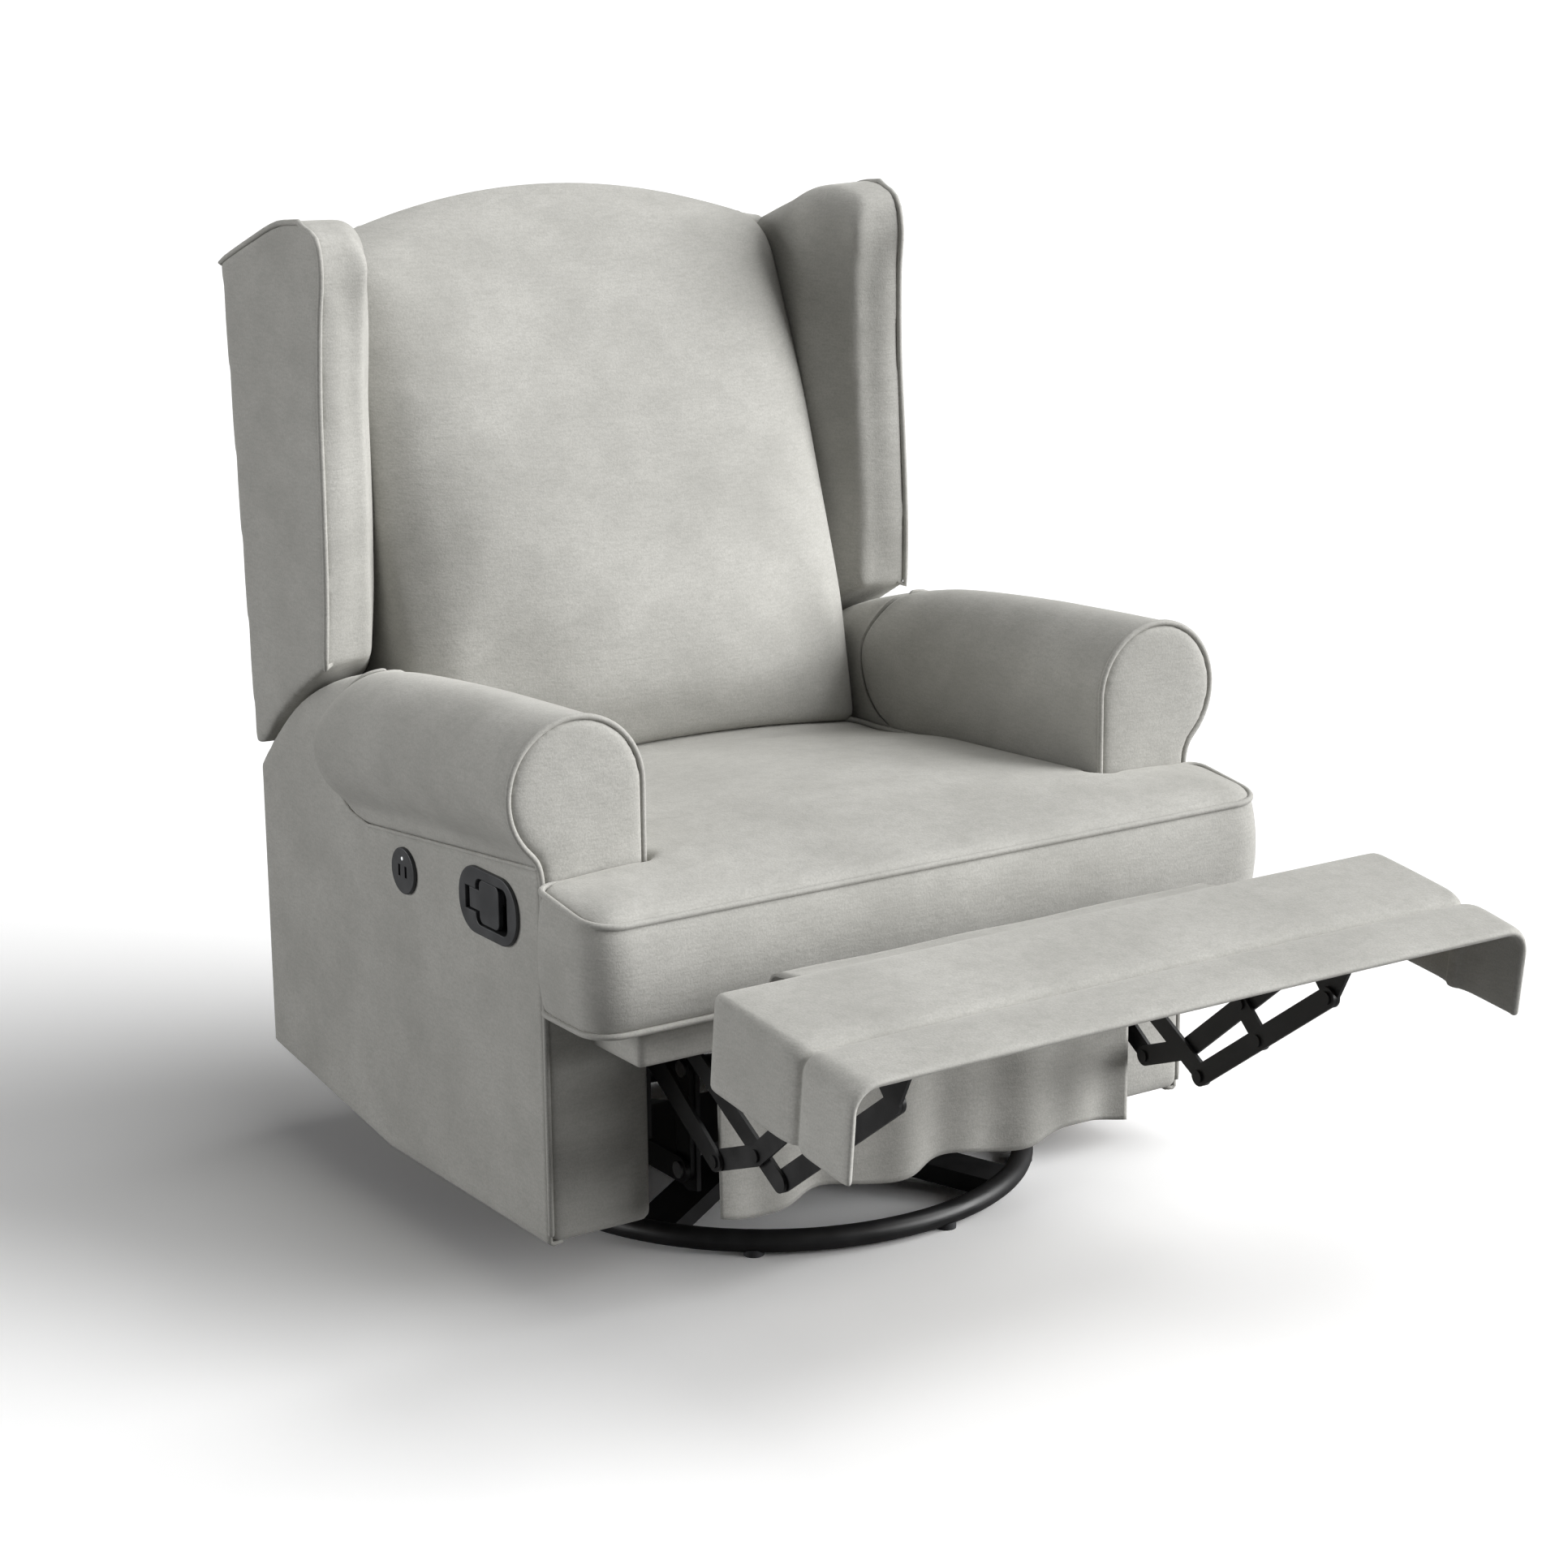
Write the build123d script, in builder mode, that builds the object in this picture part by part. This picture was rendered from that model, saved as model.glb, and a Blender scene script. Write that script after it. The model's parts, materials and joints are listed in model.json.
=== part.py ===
from build123d import *
import os
from math import atan2, cos, degrees, hypot, radians, sin

# Wingback swivel glider recliner, footrest out, back upright.
# Millimetres. +Z is up, the sitter faces -Y, the sitter's left hand is at +X.
# The origin is on the swivel axis at floor level.

os.makedirs("parts", exist_ok=True)
SIDES = (("left", 1), ("right", -1))

# Clearances
run_fit = 0.05          # radial play of a pin in its hole
face_gap = 0.3          # play between pieces that lie or slide beside each other
link_gap = 0.5          # play between stacked links

# Swivel base
ring_radius = 280.0
ring_tube = 24.0
ring_wall = 1.8
glide_height = 3.0
glide_radius = 11.0
glide_count = 8
cross_turn = 30.5       # the cross stands turned under the seat, degrees
cross_width = 48.0
cross_depth = 20.0
cross_sheet = 3.0
hub_radius = 60.0
hub_top = 46.0
race_radius = 72.0
race_thick = 6.0
king_radius = 10.0
king_head = 18.0

# Glider
pan_thick = 6.0
pan_half_depth = 70.0
swing_half_base = 150.0     # swing pivots lie this far before and behind the swivel axis
swing_top = 190.0
swing_drop = 110.0
swing_width = 28.0
swing_thick = 5.0
swing_pin = 6.0
swivel_half_width = 201.0   # outside of the swivel frame's side plates
upright_width = 34.0
sill_height = 26.0
carrier_width = 36.0
carrier_place = 70.0        # carriers rise to the seat this far before and behind the axis

# Seat frame
seat_bottom = 268.0
seat_rail_height = 34.0
seat_rail_outer = 250.0
seat_rail_thick = 24.0
seat_rear = 240.0
front_rail_front = -315.0
front_rail_thick = 30.0
front_rail_half = 360.0
strap_count = 6
strap_width = 50.0
strap_thick = 2.5
deck_thick = 5.0
deck_half = 278.0
deck_rear = 160.0
cross_tube_radius = 10.0
cross_tube_wall = 2.0
cross_tube_z = 285.0
cross_tube_places = (-60.0, 150.0)

# Arms
arm_inner = 286.0
arm_outer = 405.0
arm_front = -217.0
arm_rear = 410.0
arm_bottom = 64.0
arm_kick = 129.0            # the lower edge rises from here to the back
arm_rear_bottom = 106.5
arm_rear_shoulder = 421.0
front_board_thick = 22.0
side_panel_thick = 20.0
inner_panel_thick = 14.0
inner_panel_bottom = 100.0
rear_panel_thick = 18.0
roll_radius = 77.0
roll_centre_z = 524.0
roll_length = 410.0
seam_front = 453.0          # roll seam at the arm front
seam_fall = 36.0            # and how far it falls along the roll
arm_frame_inner = 312.0
arm_frame_thick = 36.0
arm_frame_bar = 30.0

# Seat cushion
cushion_half = 282.0
ear_half = 412.0
cushion_front = -331.0
cushion_rear = 243.0
ear_gap = 4.0
cushion_bottom = 310.0
cushion_height = 113.0
cushion_crown = 34.0
cushion_draw = 5.0          # how far the long sides draw in

# Back
recline_y = 260.0
recline_z = 290.0
recline_pin = 7.0
hinge_plate = 5.0
hinge_boss = 16.0
hinge_root = 40.0           # middle of the bolted part, before the rear of the seat frame
hinge_plate_length = 64.0
hinge_plate_height = 30.0
hinge_foot_height = 40.0
hinge_edge = 3.0
back_lean = 0.059           # rearward run per millimetre of height
back_shell_y = 455.0        # outside back at the height below
back_shell_z = 430.0
back_panel_thick = 12.0
back_panel_bottom = 118.0
back_bend_z = 380.0         # the outside back turns in below this height
back_panel_foot = 410.0
back_narrow_half = 281.0
back_wide_half = 372.0
back_wide_bottom = 446.0
back_top = 1036.0
back_shoulder = 980.0
post_inner = 260.5
post_width = 21.0
post_depth = 30.0
post_bottom = 385.0
post_top = 930.0
back_rail_height = 32.0
low_rail_rise = 60.0
back_cushion_half = 282.0
back_cushion_bottom = 460.0
back_cushion_top = 1048.0
wing_inner = 298.0
wing_front = 275.0
wing_brow = 287.0           # the front edge rounds over through here
wing_peak = 320.0
wing_peak_z = 1034.0
wing_brow_drop = 10.0
wing_front_drop = 40.0      # the front edge stands straight from here down
wing_top_mid = 402.0
wing_top_sag = 20.0
wing_front_bottom = 560.0
wing_belly = 365.0          # the lower edge sweeps back through here
wing_belly_z = 512.0
wing_wedge = 78.0           # depth of the slanted part of the inner face
wing_thick = 83.0
wing_taper = 26.0           # the inner face slants away towards the front edge
wing_tilt = 1.5             # wings lean in towards the top, degrees

# Footrest
rest_near_y = -520.0
rest_near_z = 412.0
rest_slope = 6.45
rest_length = 227.5
rest_half = 398.0
rest_skirt = 98.0
rest_skirt_thick = 9.0
rest_foam = 14.0
rest_crown = 6.0
rest_edge = 18.0
rest_board_margin = 26.0    # board edge to the outside of the skirt
rest_board_thick = 12.0
rest_board_inset = 7.0
rest_strip = 86.0           # padded strip beyond the board
bracket_start = 54.6        # bracket's near end, from the near edge
bracket_inset = 6.0         # bracket's far end to the board's
flange_width = 24.0
flange_thick = 3.0

# Footrest linkage, pivots as (y, z) with the footrest out
drive_pivot = (-138.5, 278.0)
cross_pivot = (-201.5, 290.5)
scissor_pivot = (-389.0, 183.5)
lift_end = (-320.5, 157.0)
long_foot = (-421.0, 165.0)
coupler_top = (-478.0, 259.5)
coupler_foot = (-510.5, 229.5)
bent_end = (-580.0, 342.5)
long_end = (-611.5, 303.0)
front_spacer = (-250.0, 290.0)
rear_spacer = (-85.0, 287.0)
link_outer = 277.0          # outside of the outermost link
link_thick = 4.0
link_width = 22.0
rivet_radius = 5.0
rivet_head = 6.6
rivet_cap = 2.4
drive_radius = 11.0
drive_wall = 2.0
spacer_radius = 6.0

# Cloth under the seat
curtain_half = 250.0
curtain_bottom = 92.0
curtain_y = -304.0
curtain_thick = 2.5
curtain_folds = 6
curtain_wave_top = 1.5
curtain_wave_foot = 5.5
flap_half = 271.0
flap_thick = 2.5
flap_back = (-410.0, 373.0)
flap_foot = (-397.0, 334.0)

# Pull handle and charging socket, on the sitter's right arm
handle_y = -113.0
handle_z = 392.0
bezel_length = 118.0
bezel_height = 70.0
bezel_round = 33.0
bezel_proud = 4.0
cup_depth = 33.0
cup_wall = 2.5
paddle_length = 40.0
paddle_height = 46.0
paddle_thick = 5.0
paddle_sink = 2.0
stem_length = 20.0
stem_height = 22.0
finger_gap = 20.0
paddle_play = 1.0
paddle_round = 8.0
paddle_swing = 3.5          # room behind the paddle as it swings out
stem_swing = 5.0            # room behind the stem for its end to swing
edge_round = 1.0            # moulded edges of bezel and lever
lever_barrel = 4.5
lever_pin = 2.0
socket_y = 68.0
socket_z = 385.0
socket_radius = 25.0
socket_proud = 4.0
socket_body = 17.0
socket_depth = 33.0
slot_width = 4.6
slot_height = 12.6
slot_spacing = 14.0
slot_depth = 16.0
cable_radius = 3.0
cable_z = 288.0             # height at which it meets the linkage plate
cable_bend = 22.0

# Heights that follow from the sizes above
ring_z = glide_height + ring_tube / 2
lower_race_top = hub_top + race_thick
pan_bottom = lower_race_top + face_gap + race_thick
pan_top = pan_bottom + pan_thick
swing_foot = swing_top - swing_drop
link_inner_x = swivel_half_width + link_gap
rail_inner_x = link_inner_x + swing_thick + link_gap
seat_top = seat_bottom + seat_rail_height
deck_bottom = seat_top + strap_thick
pitch = link_thick + link_gap
lift_x = link_outer - link_thick / 2
bent_x = lift_x - pitch
cross_x = bent_x - pitch
long_x = cross_x - pitch
roll_centre_x = arm_inner + roll_radius
roll_front = arm_front + front_board_thick + face_gap
roll_slope = seam_fall / roll_length
neck_z = roll_centre_z - (roll_radius**2 - (arm_outer - roll_centre_x) ** 2) ** 0.5


def save(piece, name):
    piece.part.label = name
    export_step(piece.part, f"parts/{name}.step")


def front_plane(y):
    """Plane across the chair, seen from the front: x to the right, z up."""
    return Plane(origin=(0, y, 0), x_dir=(1, 0, 0), z_dir=(0, -1, 0))


def side_plane(x):
    """Plane along the chair: y to the rear, z up."""
    return Plane.YZ.offset(x)


def seam_z(y):
    """Height of the roll seam at a place along the arm."""
    return seam_front - roll_slope * (y - arm_front)


def back_y(z):
    """Outside face of the leaning back."""
    return back_shell_y + back_lean * (z - back_shell_z)


def slot_between(start, end, width):
    """Round-ended bar from one pivot to another, in the current sketch."""
    length = hypot(end[0] - start[0], end[1] - start[1])
    turn = degrees(atan2(end[1] - start[1], end[0] - start[0]))
    with Locations(((start[0] + end[0]) / 2, (start[1] + end[1]) / 2)):
        SlotCenterToCenter(length, width, rotation=turn)


def rod(sign, x_from, x_to, at, radius, mode=Mode.ADD):
    """Round bar across the chair between two distances from its middle."""
    with BuildSketch(side_plane(sign * x_from)) as section:
        with Locations(at):
            Circle(radius)
    extrude(section.sketch, amount=sign * (x_to - x_from), mode=mode)


def outer_head(sign, x_centre, at):
    """Rivet head on the outer face of a link."""
    face = x_centre + link_thick / 2
    rod(sign, face, face + rivet_cap, at, rivet_head)


def inner_head(sign, x_centre, at):
    """Rivet head on the inner face of a link."""
    face = x_centre - link_thick / 2
    rod(sign, face, face - rivet_cap, at, rivet_head)


def inward_pin(sign, x_centre, at):
    """Pin set in a link, through the next link inside it, with a head beyond."""
    end = x_centre - link_thick / 2 - pitch - face_gap
    rod(sign, x_centre, end, at, rivet_radius)
    rod(sign, end, end - rivet_cap, at, rivet_head)


def outward_pin(sign, x_centre, at):
    """Pin set in a link, through the next link outside it, with a head beyond."""
    end = x_centre + link_thick / 2 + pitch + face_gap
    rod(sign, x_centre, end, at, rivet_radius)
    rod(sign, end, end + rivet_cap, at, rivet_head)


def pivot_hole(sign, x_centre, at, radius):
    """Running hole through one link."""
    rod(sign, x_centre - link_thick, x_centre + link_thick, at, radius + run_fit, Mode.SUBTRACT)


# Swivel base: tube ring, pressed cross, glides and lower bearing race
with BuildPart() as base_ring:
    with Locations((0, 0, ring_z)):
        Torus(ring_radius, ring_tube / 2)
        Torus(ring_radius, ring_tube / 2 - ring_wall, mode=Mode.SUBTRACT)
save(base_ring, "base_ring")

with BuildPart() as cross_bars:
    for quarter in range(4):
        turn = radians(cross_turn + 90 * quarter)
        along = Plane(origin=(0, 0, 0), x_dir=(cos(turn), sin(turn), 0), z_dir=(sin(turn), -cos(turn), 0))
        end_top = ring_z + cross_depth / 2
        with BuildSketch(along):
            with BuildLine():
                Polyline(
                    (0, hub_top), (hub_radius, hub_top), (ring_radius, end_top),
                    (ring_radius, end_top - cross_depth), (hub_radius, hub_top - cross_depth),
                    (0, hub_top - cross_depth), close=True,
                )
            make_face()
        extrude(amount=cross_width / 2, both=True)
    for quarter in range(4):
        turn = radians(cross_turn + 90 * quarter)
        along = Plane(origin=(0, 0, 0), x_dir=(cos(turn), sin(turn), 0), z_dir=(sin(turn), -cos(turn), 0))
        with BuildSketch(along):
            with BuildLine():
                Polyline(
                    (0, hub_top - cross_sheet), (hub_radius, hub_top - cross_sheet),
                    (ring_radius, end_top - cross_sheet), (ring_radius, 0), (0, 0), close=True,
                )
            make_face()
        extrude(amount=cross_width / 2 - cross_sheet, both=True, mode=Mode.SUBTRACT)
    with Locations((0, 0, ring_z)):
        Torus(ring_radius, ring_tube / 2 + face_gap, mode=Mode.SUBTRACT)
    with Locations((0, 0, hub_top)):
        Hole(king_radius + run_fit, depth=cross_depth)
save(cross_bars, "cross_bars")

with BuildPart() as floor_glides:
    with PolarLocations(ring_radius, glide_count, start_angle=cross_turn + 180 / glide_count):
        Cylinder(glide_radius, glide_height + ring_tube / 5, align=(Align.CENTER, Align.CENTER, Align.MIN))
    with Locations((0, 0, ring_z)):
        Torus(ring_radius, ring_tube / 2 + face_gap, mode=Mode.SUBTRACT)
save(floor_glides, "floor_glides")

with BuildPart() as lower_race:
    with BuildSketch(Plane.XY.offset(hub_top)):
        Circle(race_radius)
        Circle(king_head + 4, mode=Mode.SUBTRACT)
    extrude(amount=race_thick)
save(lower_race, "lower_race")

with BuildPart() as king_bolt:
    with BuildSketch(Plane.XY.offset(hub_top - cross_sheet - race_thick)):
        RegularPolygon(king_head, 6)
    extrude(amount=race_thick)
    with BuildSketch(Plane.XY.offset(hub_top - cross_sheet)):
        Circle(king_radius)
    extrude(amount=pan_top + face_gap - hub_top + cross_sheet)
    with BuildSketch(Plane.XY.offset(pan_top + face_gap)):
        RegularPolygon(king_head, 6)
    extrude(amount=king_radius)
save(king_bolt, "king_bolt")

# Swivel frame: upper race, pan and two side plates with the swing uprights
with BuildPart() as upper_race:
    with BuildSketch(Plane.XY.offset(lower_race_top + face_gap)):
        Circle(race_radius)
        Circle(king_radius + run_fit, mode=Mode.SUBTRACT)
    extrude(amount=race_thick)
save(upper_race, "upper_race")

with BuildPart() as swivel_frame:
    with BuildSketch(Plane.XY.offset(pan_bottom)):
        Rectangle(2 * swivel_half_width, 2 * pan_half_depth)
        Circle(king_radius + run_fit, mode=Mode.SUBTRACT)
    extrude(amount=pan_thick)
    for name, sign in SIDES:
        with BuildSketch(side_plane(sign * (swivel_half_width - swing_thick))):
            with Locations((0, pan_bottom + sill_height / 2)):
                Rectangle(2 * swing_half_base + upright_width, sill_height)
            for y in (-swing_half_base, swing_half_base):
                slot_between((y, pan_bottom + sill_height / 2), (y, swing_top), upright_width)
            with Locations((-swing_half_base, swing_top), (swing_half_base, swing_top)):
                Circle(swing_pin + run_fit, mode=Mode.SUBTRACT)
        extrude(amount=sign * swing_thick)
save(swivel_frame, "swivel_frame")

with BuildPart() as swing_pins:
    for name, sign in SIDES:
        for y in (-swing_half_base, swing_half_base):
            pin_root = swivel_half_width - swing_thick - face_gap
            pin_end = link_inner_x + swing_thick + face_gap
            rod(sign, pin_root, pin_end, (y, swing_top), swing_pin)
            rod(sign, pin_root - rivet_cap, pin_root, (y, swing_top), swing_pin + 3)
            rod(sign, pin_end, pin_end + rivet_cap, (y, swing_top), swing_pin + 3)
save(swing_pins, "swing_pins")

# Hanging links of the glide, one pair before and one pair behind the axis
for name, y in (("front_swing_links", -swing_half_base), ("rear_swing_links", swing_half_base)):
    with BuildPart() as swing_links:
        for side, sign in SIDES:
            with BuildSketch(side_plane(sign * link_inner_x)):
                slot_between((y, swing_foot), (y, swing_top), swing_width)
                with Locations((y, swing_foot), (y, swing_top)):
                    Circle(swing_pin + run_fit, mode=Mode.SUBTRACT)
            extrude(amount=sign * swing_thick)
    save(swing_links, name)

# Carriage: glide rails that hang in the links and carry the seat frame
for side, sign in SIDES:
    with BuildPart() as glide_rail:
        with BuildSketch(side_plane(sign * rail_inner_x)):
            slot_between((-swing_half_base, swing_foot), (swing_half_base, swing_foot), swing_width)
            for y in (-carrier_place, carrier_place):
                with Locations((y, (swing_foot + seat_bottom) / 2)):
                    Rectangle(carrier_width, seat_bottom - swing_foot)
            with Locations((-swing_half_base, swing_foot), (swing_half_base, swing_foot)):
                Circle(swing_pin + run_fit, mode=Mode.SUBTRACT)
        extrude(amount=sign * swing_thick)
        with BuildSketch(Plane.XY.offset(seat_bottom)):
            with Locations((sign * (rail_inner_x + seat_rail_outer) / 2, 0)):
                Rectangle(seat_rail_outer - rail_inner_x, 2 * carrier_place + carrier_width)
        extrude(amount=-swing_thick)
    save(glide_rail, f"{side}_glide_rail")

with BuildPart() as carriage_pins:
    for side, sign in SIDES:
        for y in (-swing_half_base, swing_half_base):
            pin_root = rail_inner_x + swing_thick + face_gap
            rod(sign, pin_root, link_inner_x, (y, swing_foot), swing_pin)
            rod(sign, pin_root, pin_root + rivet_cap, (y, swing_foot), swing_pin + 3)
save(carriage_pins, "carriage_pins")

with BuildPart() as seat_frame:
    rail_front = front_rail_front + front_rail_thick
    for side, sign in SIDES:
        with BuildSketch(side_plane(sign * (seat_rail_outer - seat_rail_thick))):
            with Locations(((rail_front + seat_rear) / 2, seat_bottom + seat_rail_height / 2)):
                Rectangle(seat_rear - rail_front, seat_rail_height)
            with Locations(drive_pivot):
                Circle(drive_radius + 1, mode=Mode.SUBTRACT)
            for y in cross_tube_places:
                with Locations((y, cross_tube_z)):
                    Circle(cross_tube_radius + run_fit, mode=Mode.SUBTRACT)
        extrude(amount=sign * seat_rail_thick)
    with BuildSketch(Plane.XY.offset(seat_bottom)):
        with Locations((0, seat_rear - seat_rail_thick / 2)):
            Rectangle(2 * (seat_rail_outer - seat_rail_thick), seat_rail_thick)
    extrude(amount=seat_rail_height)
save(seat_frame, "seat_frame")

with BuildPart() as front_rail:
    with BuildSketch(Plane.XY.offset(seat_bottom)):
        with Locations((0, front_rail_front + front_rail_thick / 2)):
            Rectangle(2 * front_rail_half, front_rail_thick)
    extrude(amount=seat_rail_height)
    fillet(front_rail.edges().filter_by(Axis.X).group_by(Axis.Y)[0], front_rail_thick / 5)
save(front_rail, "front_rail")

with BuildPart() as cross_tubes:
    for y in cross_tube_places:
        with BuildSketch(side_plane(0)):
            with Locations((y, cross_tube_z)):
                Circle(cross_tube_radius)
                Circle(cross_tube_radius - cross_tube_wall, mode=Mode.SUBTRACT)
        extrude(amount=arm_inner + inner_panel_thick, both=True)
save(cross_tubes, "cross_tubes")

with BuildPart() as seat_straps:
    strap_step = 2 * (seat_rail_outer - seat_rail_thick) / strap_count
    with BuildSketch(Plane.XY.offset(seat_top)):
        strap_front = front_rail_front + front_rail_thick / 4
        with Locations((0, (strap_front + seat_rear) / 2)):
            with GridLocations(strap_step, 0, strap_count, 1):
                Rectangle(strap_width, seat_rear - strap_front)
    extrude(amount=strap_thick)
save(seat_straps, "seat_straps")

with BuildPart() as seat_deck:
    with BuildSketch(Plane.XY.offset(deck_bottom)):
        with Locations((0, (front_rail_front + deck_rear) / 2)):
            Rectangle(2 * deck_half, deck_rear - front_rail_front)
    extrude(amount=deck_thick)
save(seat_deck, "seat_deck")


def cushion_outline(inset):
    """T-shaped outline whose long sides draw in between the corners."""
    wide = ear_half - inset
    narrow = cushion_half - inset
    front = cushion_front + inset
    rear = cushion_rear - inset
    ear_back = arm_front - ear_gap - inset
    with BuildLine() as outline:
        ThreePointArc((-wide, front), (0, front + cushion_draw), (wide, front))
        Line((wide, front), (wide, ear_back))
        Line((wide, ear_back), (narrow, ear_back))
        ThreePointArc((narrow, ear_back), (narrow - cushion_draw, (ear_back + rear) / 2), (narrow, rear))
        ThreePointArc((narrow, rear), (0, rear - cushion_draw), (-narrow, rear))
        ThreePointArc((-narrow, rear), (cushion_draw - narrow, (ear_back + rear) / 2), (-narrow, ear_back))
        Line((-narrow, ear_back), (-wide, ear_back))
        Line((-wide, ear_back), (-wide, front))
    make_face(outline.edges())


with BuildPart() as seat_cushion:
    cushion_sections = (
        (0, 14), (cushion_height * 0.25, 0), (cushion_height, 0),
        (cushion_height + cushion_crown * 0.6, 18), (cushion_height + cushion_crown, 50),
    )
    for height, inset in cushion_sections:
        with BuildSketch(Plane.XY.offset(cushion_bottom + height)):
            cushion_outline(inset)
    loft(ruled=True)
save(seat_cushion, "seat_cushion")

# Arms: side panel, inner panel, keyhole front, bent rear panel, frame and roll
shoulder_end = roll_front + roll_length + face_gap
shoulder_top = seam_z(shoulder_end) + roll_centre_z + roll_radius - seam_front - 9
shoulder_mid = (arm_rear - 55, arm_rear_shoulder + 69)

for side, sign in SIDES:
    with BuildPart() as side_panel:
        with BuildSketch(side_plane(sign * arm_outer)):
            with BuildLine():
                Polyline(
                    (shoulder_end, shoulder_top), (shoulder_end, seam_z(shoulder_end) - face_gap),
                    (roll_front, seam_z(roll_front) - face_gap), (roll_front, arm_bottom),
                    (arm_kick, arm_bottom), (arm_rear, arm_rear_bottom), (arm_rear, arm_rear_shoulder),
                )
                ThreePointArc((arm_rear, arm_rear_shoulder), shoulder_mid, (shoulder_end, shoulder_top))
            make_face()
            if side == "right":
                with Locations((handle_y, handle_z)):
                    RectangleRounded(
                        bezel_length - 14 + 2 * face_gap, bezel_height - 14 + 2 * face_gap,
                        bezel_round - 7, mode=Mode.SUBTRACT,
                    )
                with Locations((socket_y, socket_z)):
                    Circle(socket_body + face_gap, mode=Mode.SUBTRACT)
        extrude(amount=-sign * side_panel_thick)
    save(side_panel, f"{side}_side_panel")

    with BuildPart() as inner_panel:
        panel_rear = arm_rear - rear_panel_thick - face_gap
        rear_lift = arm_rear_bottom - arm_bottom
        panel_top = seam_z(shoulder_end) - face_gap
        with BuildSketch(side_plane(sign * (arm_inner + face_gap))):
            with BuildLine():
                Polyline(
                    (roll_front, inner_panel_bottom), (panel_rear, inner_panel_bottom + rear_lift),
                    (panel_rear, panel_top), (shoulder_end, panel_top),
                    (roll_front, seam_z(roll_front) - face_gap), close=True,
                )
            make_face()
            for y in cross_tube_places:
                with Locations((y, cross_tube_z)):
                    Circle(cross_tube_radius + run_fit, mode=Mode.SUBTRACT)
            if side == "right":
                with Locations((handle_y, cable_z)):
                    Circle(cable_radius + face_gap, mode=Mode.SUBTRACT)
        extrude(amount=sign * inner_panel_thick)
    save(inner_panel, f"{side}_inner_panel")

    with BuildPart() as arm_front_board:
        with BuildSketch(front_plane(arm_front)):
            with BuildLine():
                low_x = roll_centre_x + roll_radius * cos(radians(28))
                low_z = roll_centre_z - roll_radius * sin(radians(28))
                shift = roll_radius * cos(radians(45))
                roll_top = (roll_centre_x, roll_centre_z + roll_radius)
                roll_side = (roll_centre_x + roll_radius, roll_centre_z)
                Polyline(
                    (arm_outer, neck_z), (arm_outer, arm_bottom), (arm_inner, arm_bottom),
                    (arm_inner, roll_centre_z),
                )
                inner_mid = (roll_centre_x - shift, roll_centre_z + shift)
                ThreePointArc((arm_inner, roll_centre_z), inner_mid, roll_top)
                ThreePointArc(roll_top, (roll_centre_x + shift, roll_centre_z + shift), roll_side)
                ThreePointArc(roll_side, (low_x, low_z), (arm_outer, neck_z))
            make_face()
        extrude(amount=-front_board_thick)
        if sign < 0:
            mirror(about=Plane.YZ, mode=Mode.REPLACE)
    save(arm_front_board, f"{side}_arm_front")

    with BuildPart() as arm_roll:
        with BuildSketch(front_plane(roll_front)):
            drop = roll_slope * (roll_front - arm_front)
            with BuildLine():
                Polyline(
                    (arm_outer, neck_z - drop), (arm_outer, seam_z(roll_front)),
                    (arm_inner + face_gap, seam_z(roll_front)), (arm_inner + face_gap, roll_centre_z - drop),
                )
                top = (roll_centre_x, roll_centre_z + roll_radius - drop)
                inner = (arm_inner + face_gap, roll_centre_z - drop)
                outer = (roll_centre_x + roll_radius, roll_centre_z - drop)
                ThreePointArc(inner, (roll_centre_x - shift, roll_centre_z + shift - drop), top)
                ThreePointArc(top, (roll_centre_x + shift, roll_centre_z + shift - drop), outer)
                ThreePointArc(outer, (low_x, low_z - drop), (arm_outer, neck_z - drop))
            make_face()
        extrude(amount=hypot(roll_length, seam_fall), dir=Vector(0, roll_length, -seam_fall))
        if sign < 0:
            mirror(about=Plane.YZ, mode=Mode.REPLACE)
    save(arm_roll, f"{side}_arm_roll")

    with BuildPart() as arm_rear_panel:
        with BuildSketch(side_plane(sign * (arm_inner + face_gap))):
            with BuildLine():
                rear_in = arm_rear - rear_panel_thick
                Line((arm_rear, arm_rear_shoulder), (arm_rear, arm_rear_bottom))
                Line((arm_rear, arm_rear_bottom), (rear_in, arm_rear_bottom))
                Line((rear_in, arm_rear_bottom), (rear_in, arm_rear_shoulder - 4))
                ThreePointArc(
                    (rear_in, arm_rear_shoulder - 4), (shoulder_mid[0] - 12, shoulder_mid[1] - 14),
                    (shoulder_end, shoulder_top - rear_panel_thick),
                )
                Line((shoulder_end, shoulder_top - rear_panel_thick), (shoulder_end, shoulder_top))
                ThreePointArc((shoulder_end, shoulder_top), shoulder_mid, (arm_rear, arm_rear_shoulder))
            make_face()
        extrude(amount=sign * (arm_outer - side_panel_thick - arm_inner - 2 * face_gap))
    save(arm_rear_panel, f"{side}_arm_rear")

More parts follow.
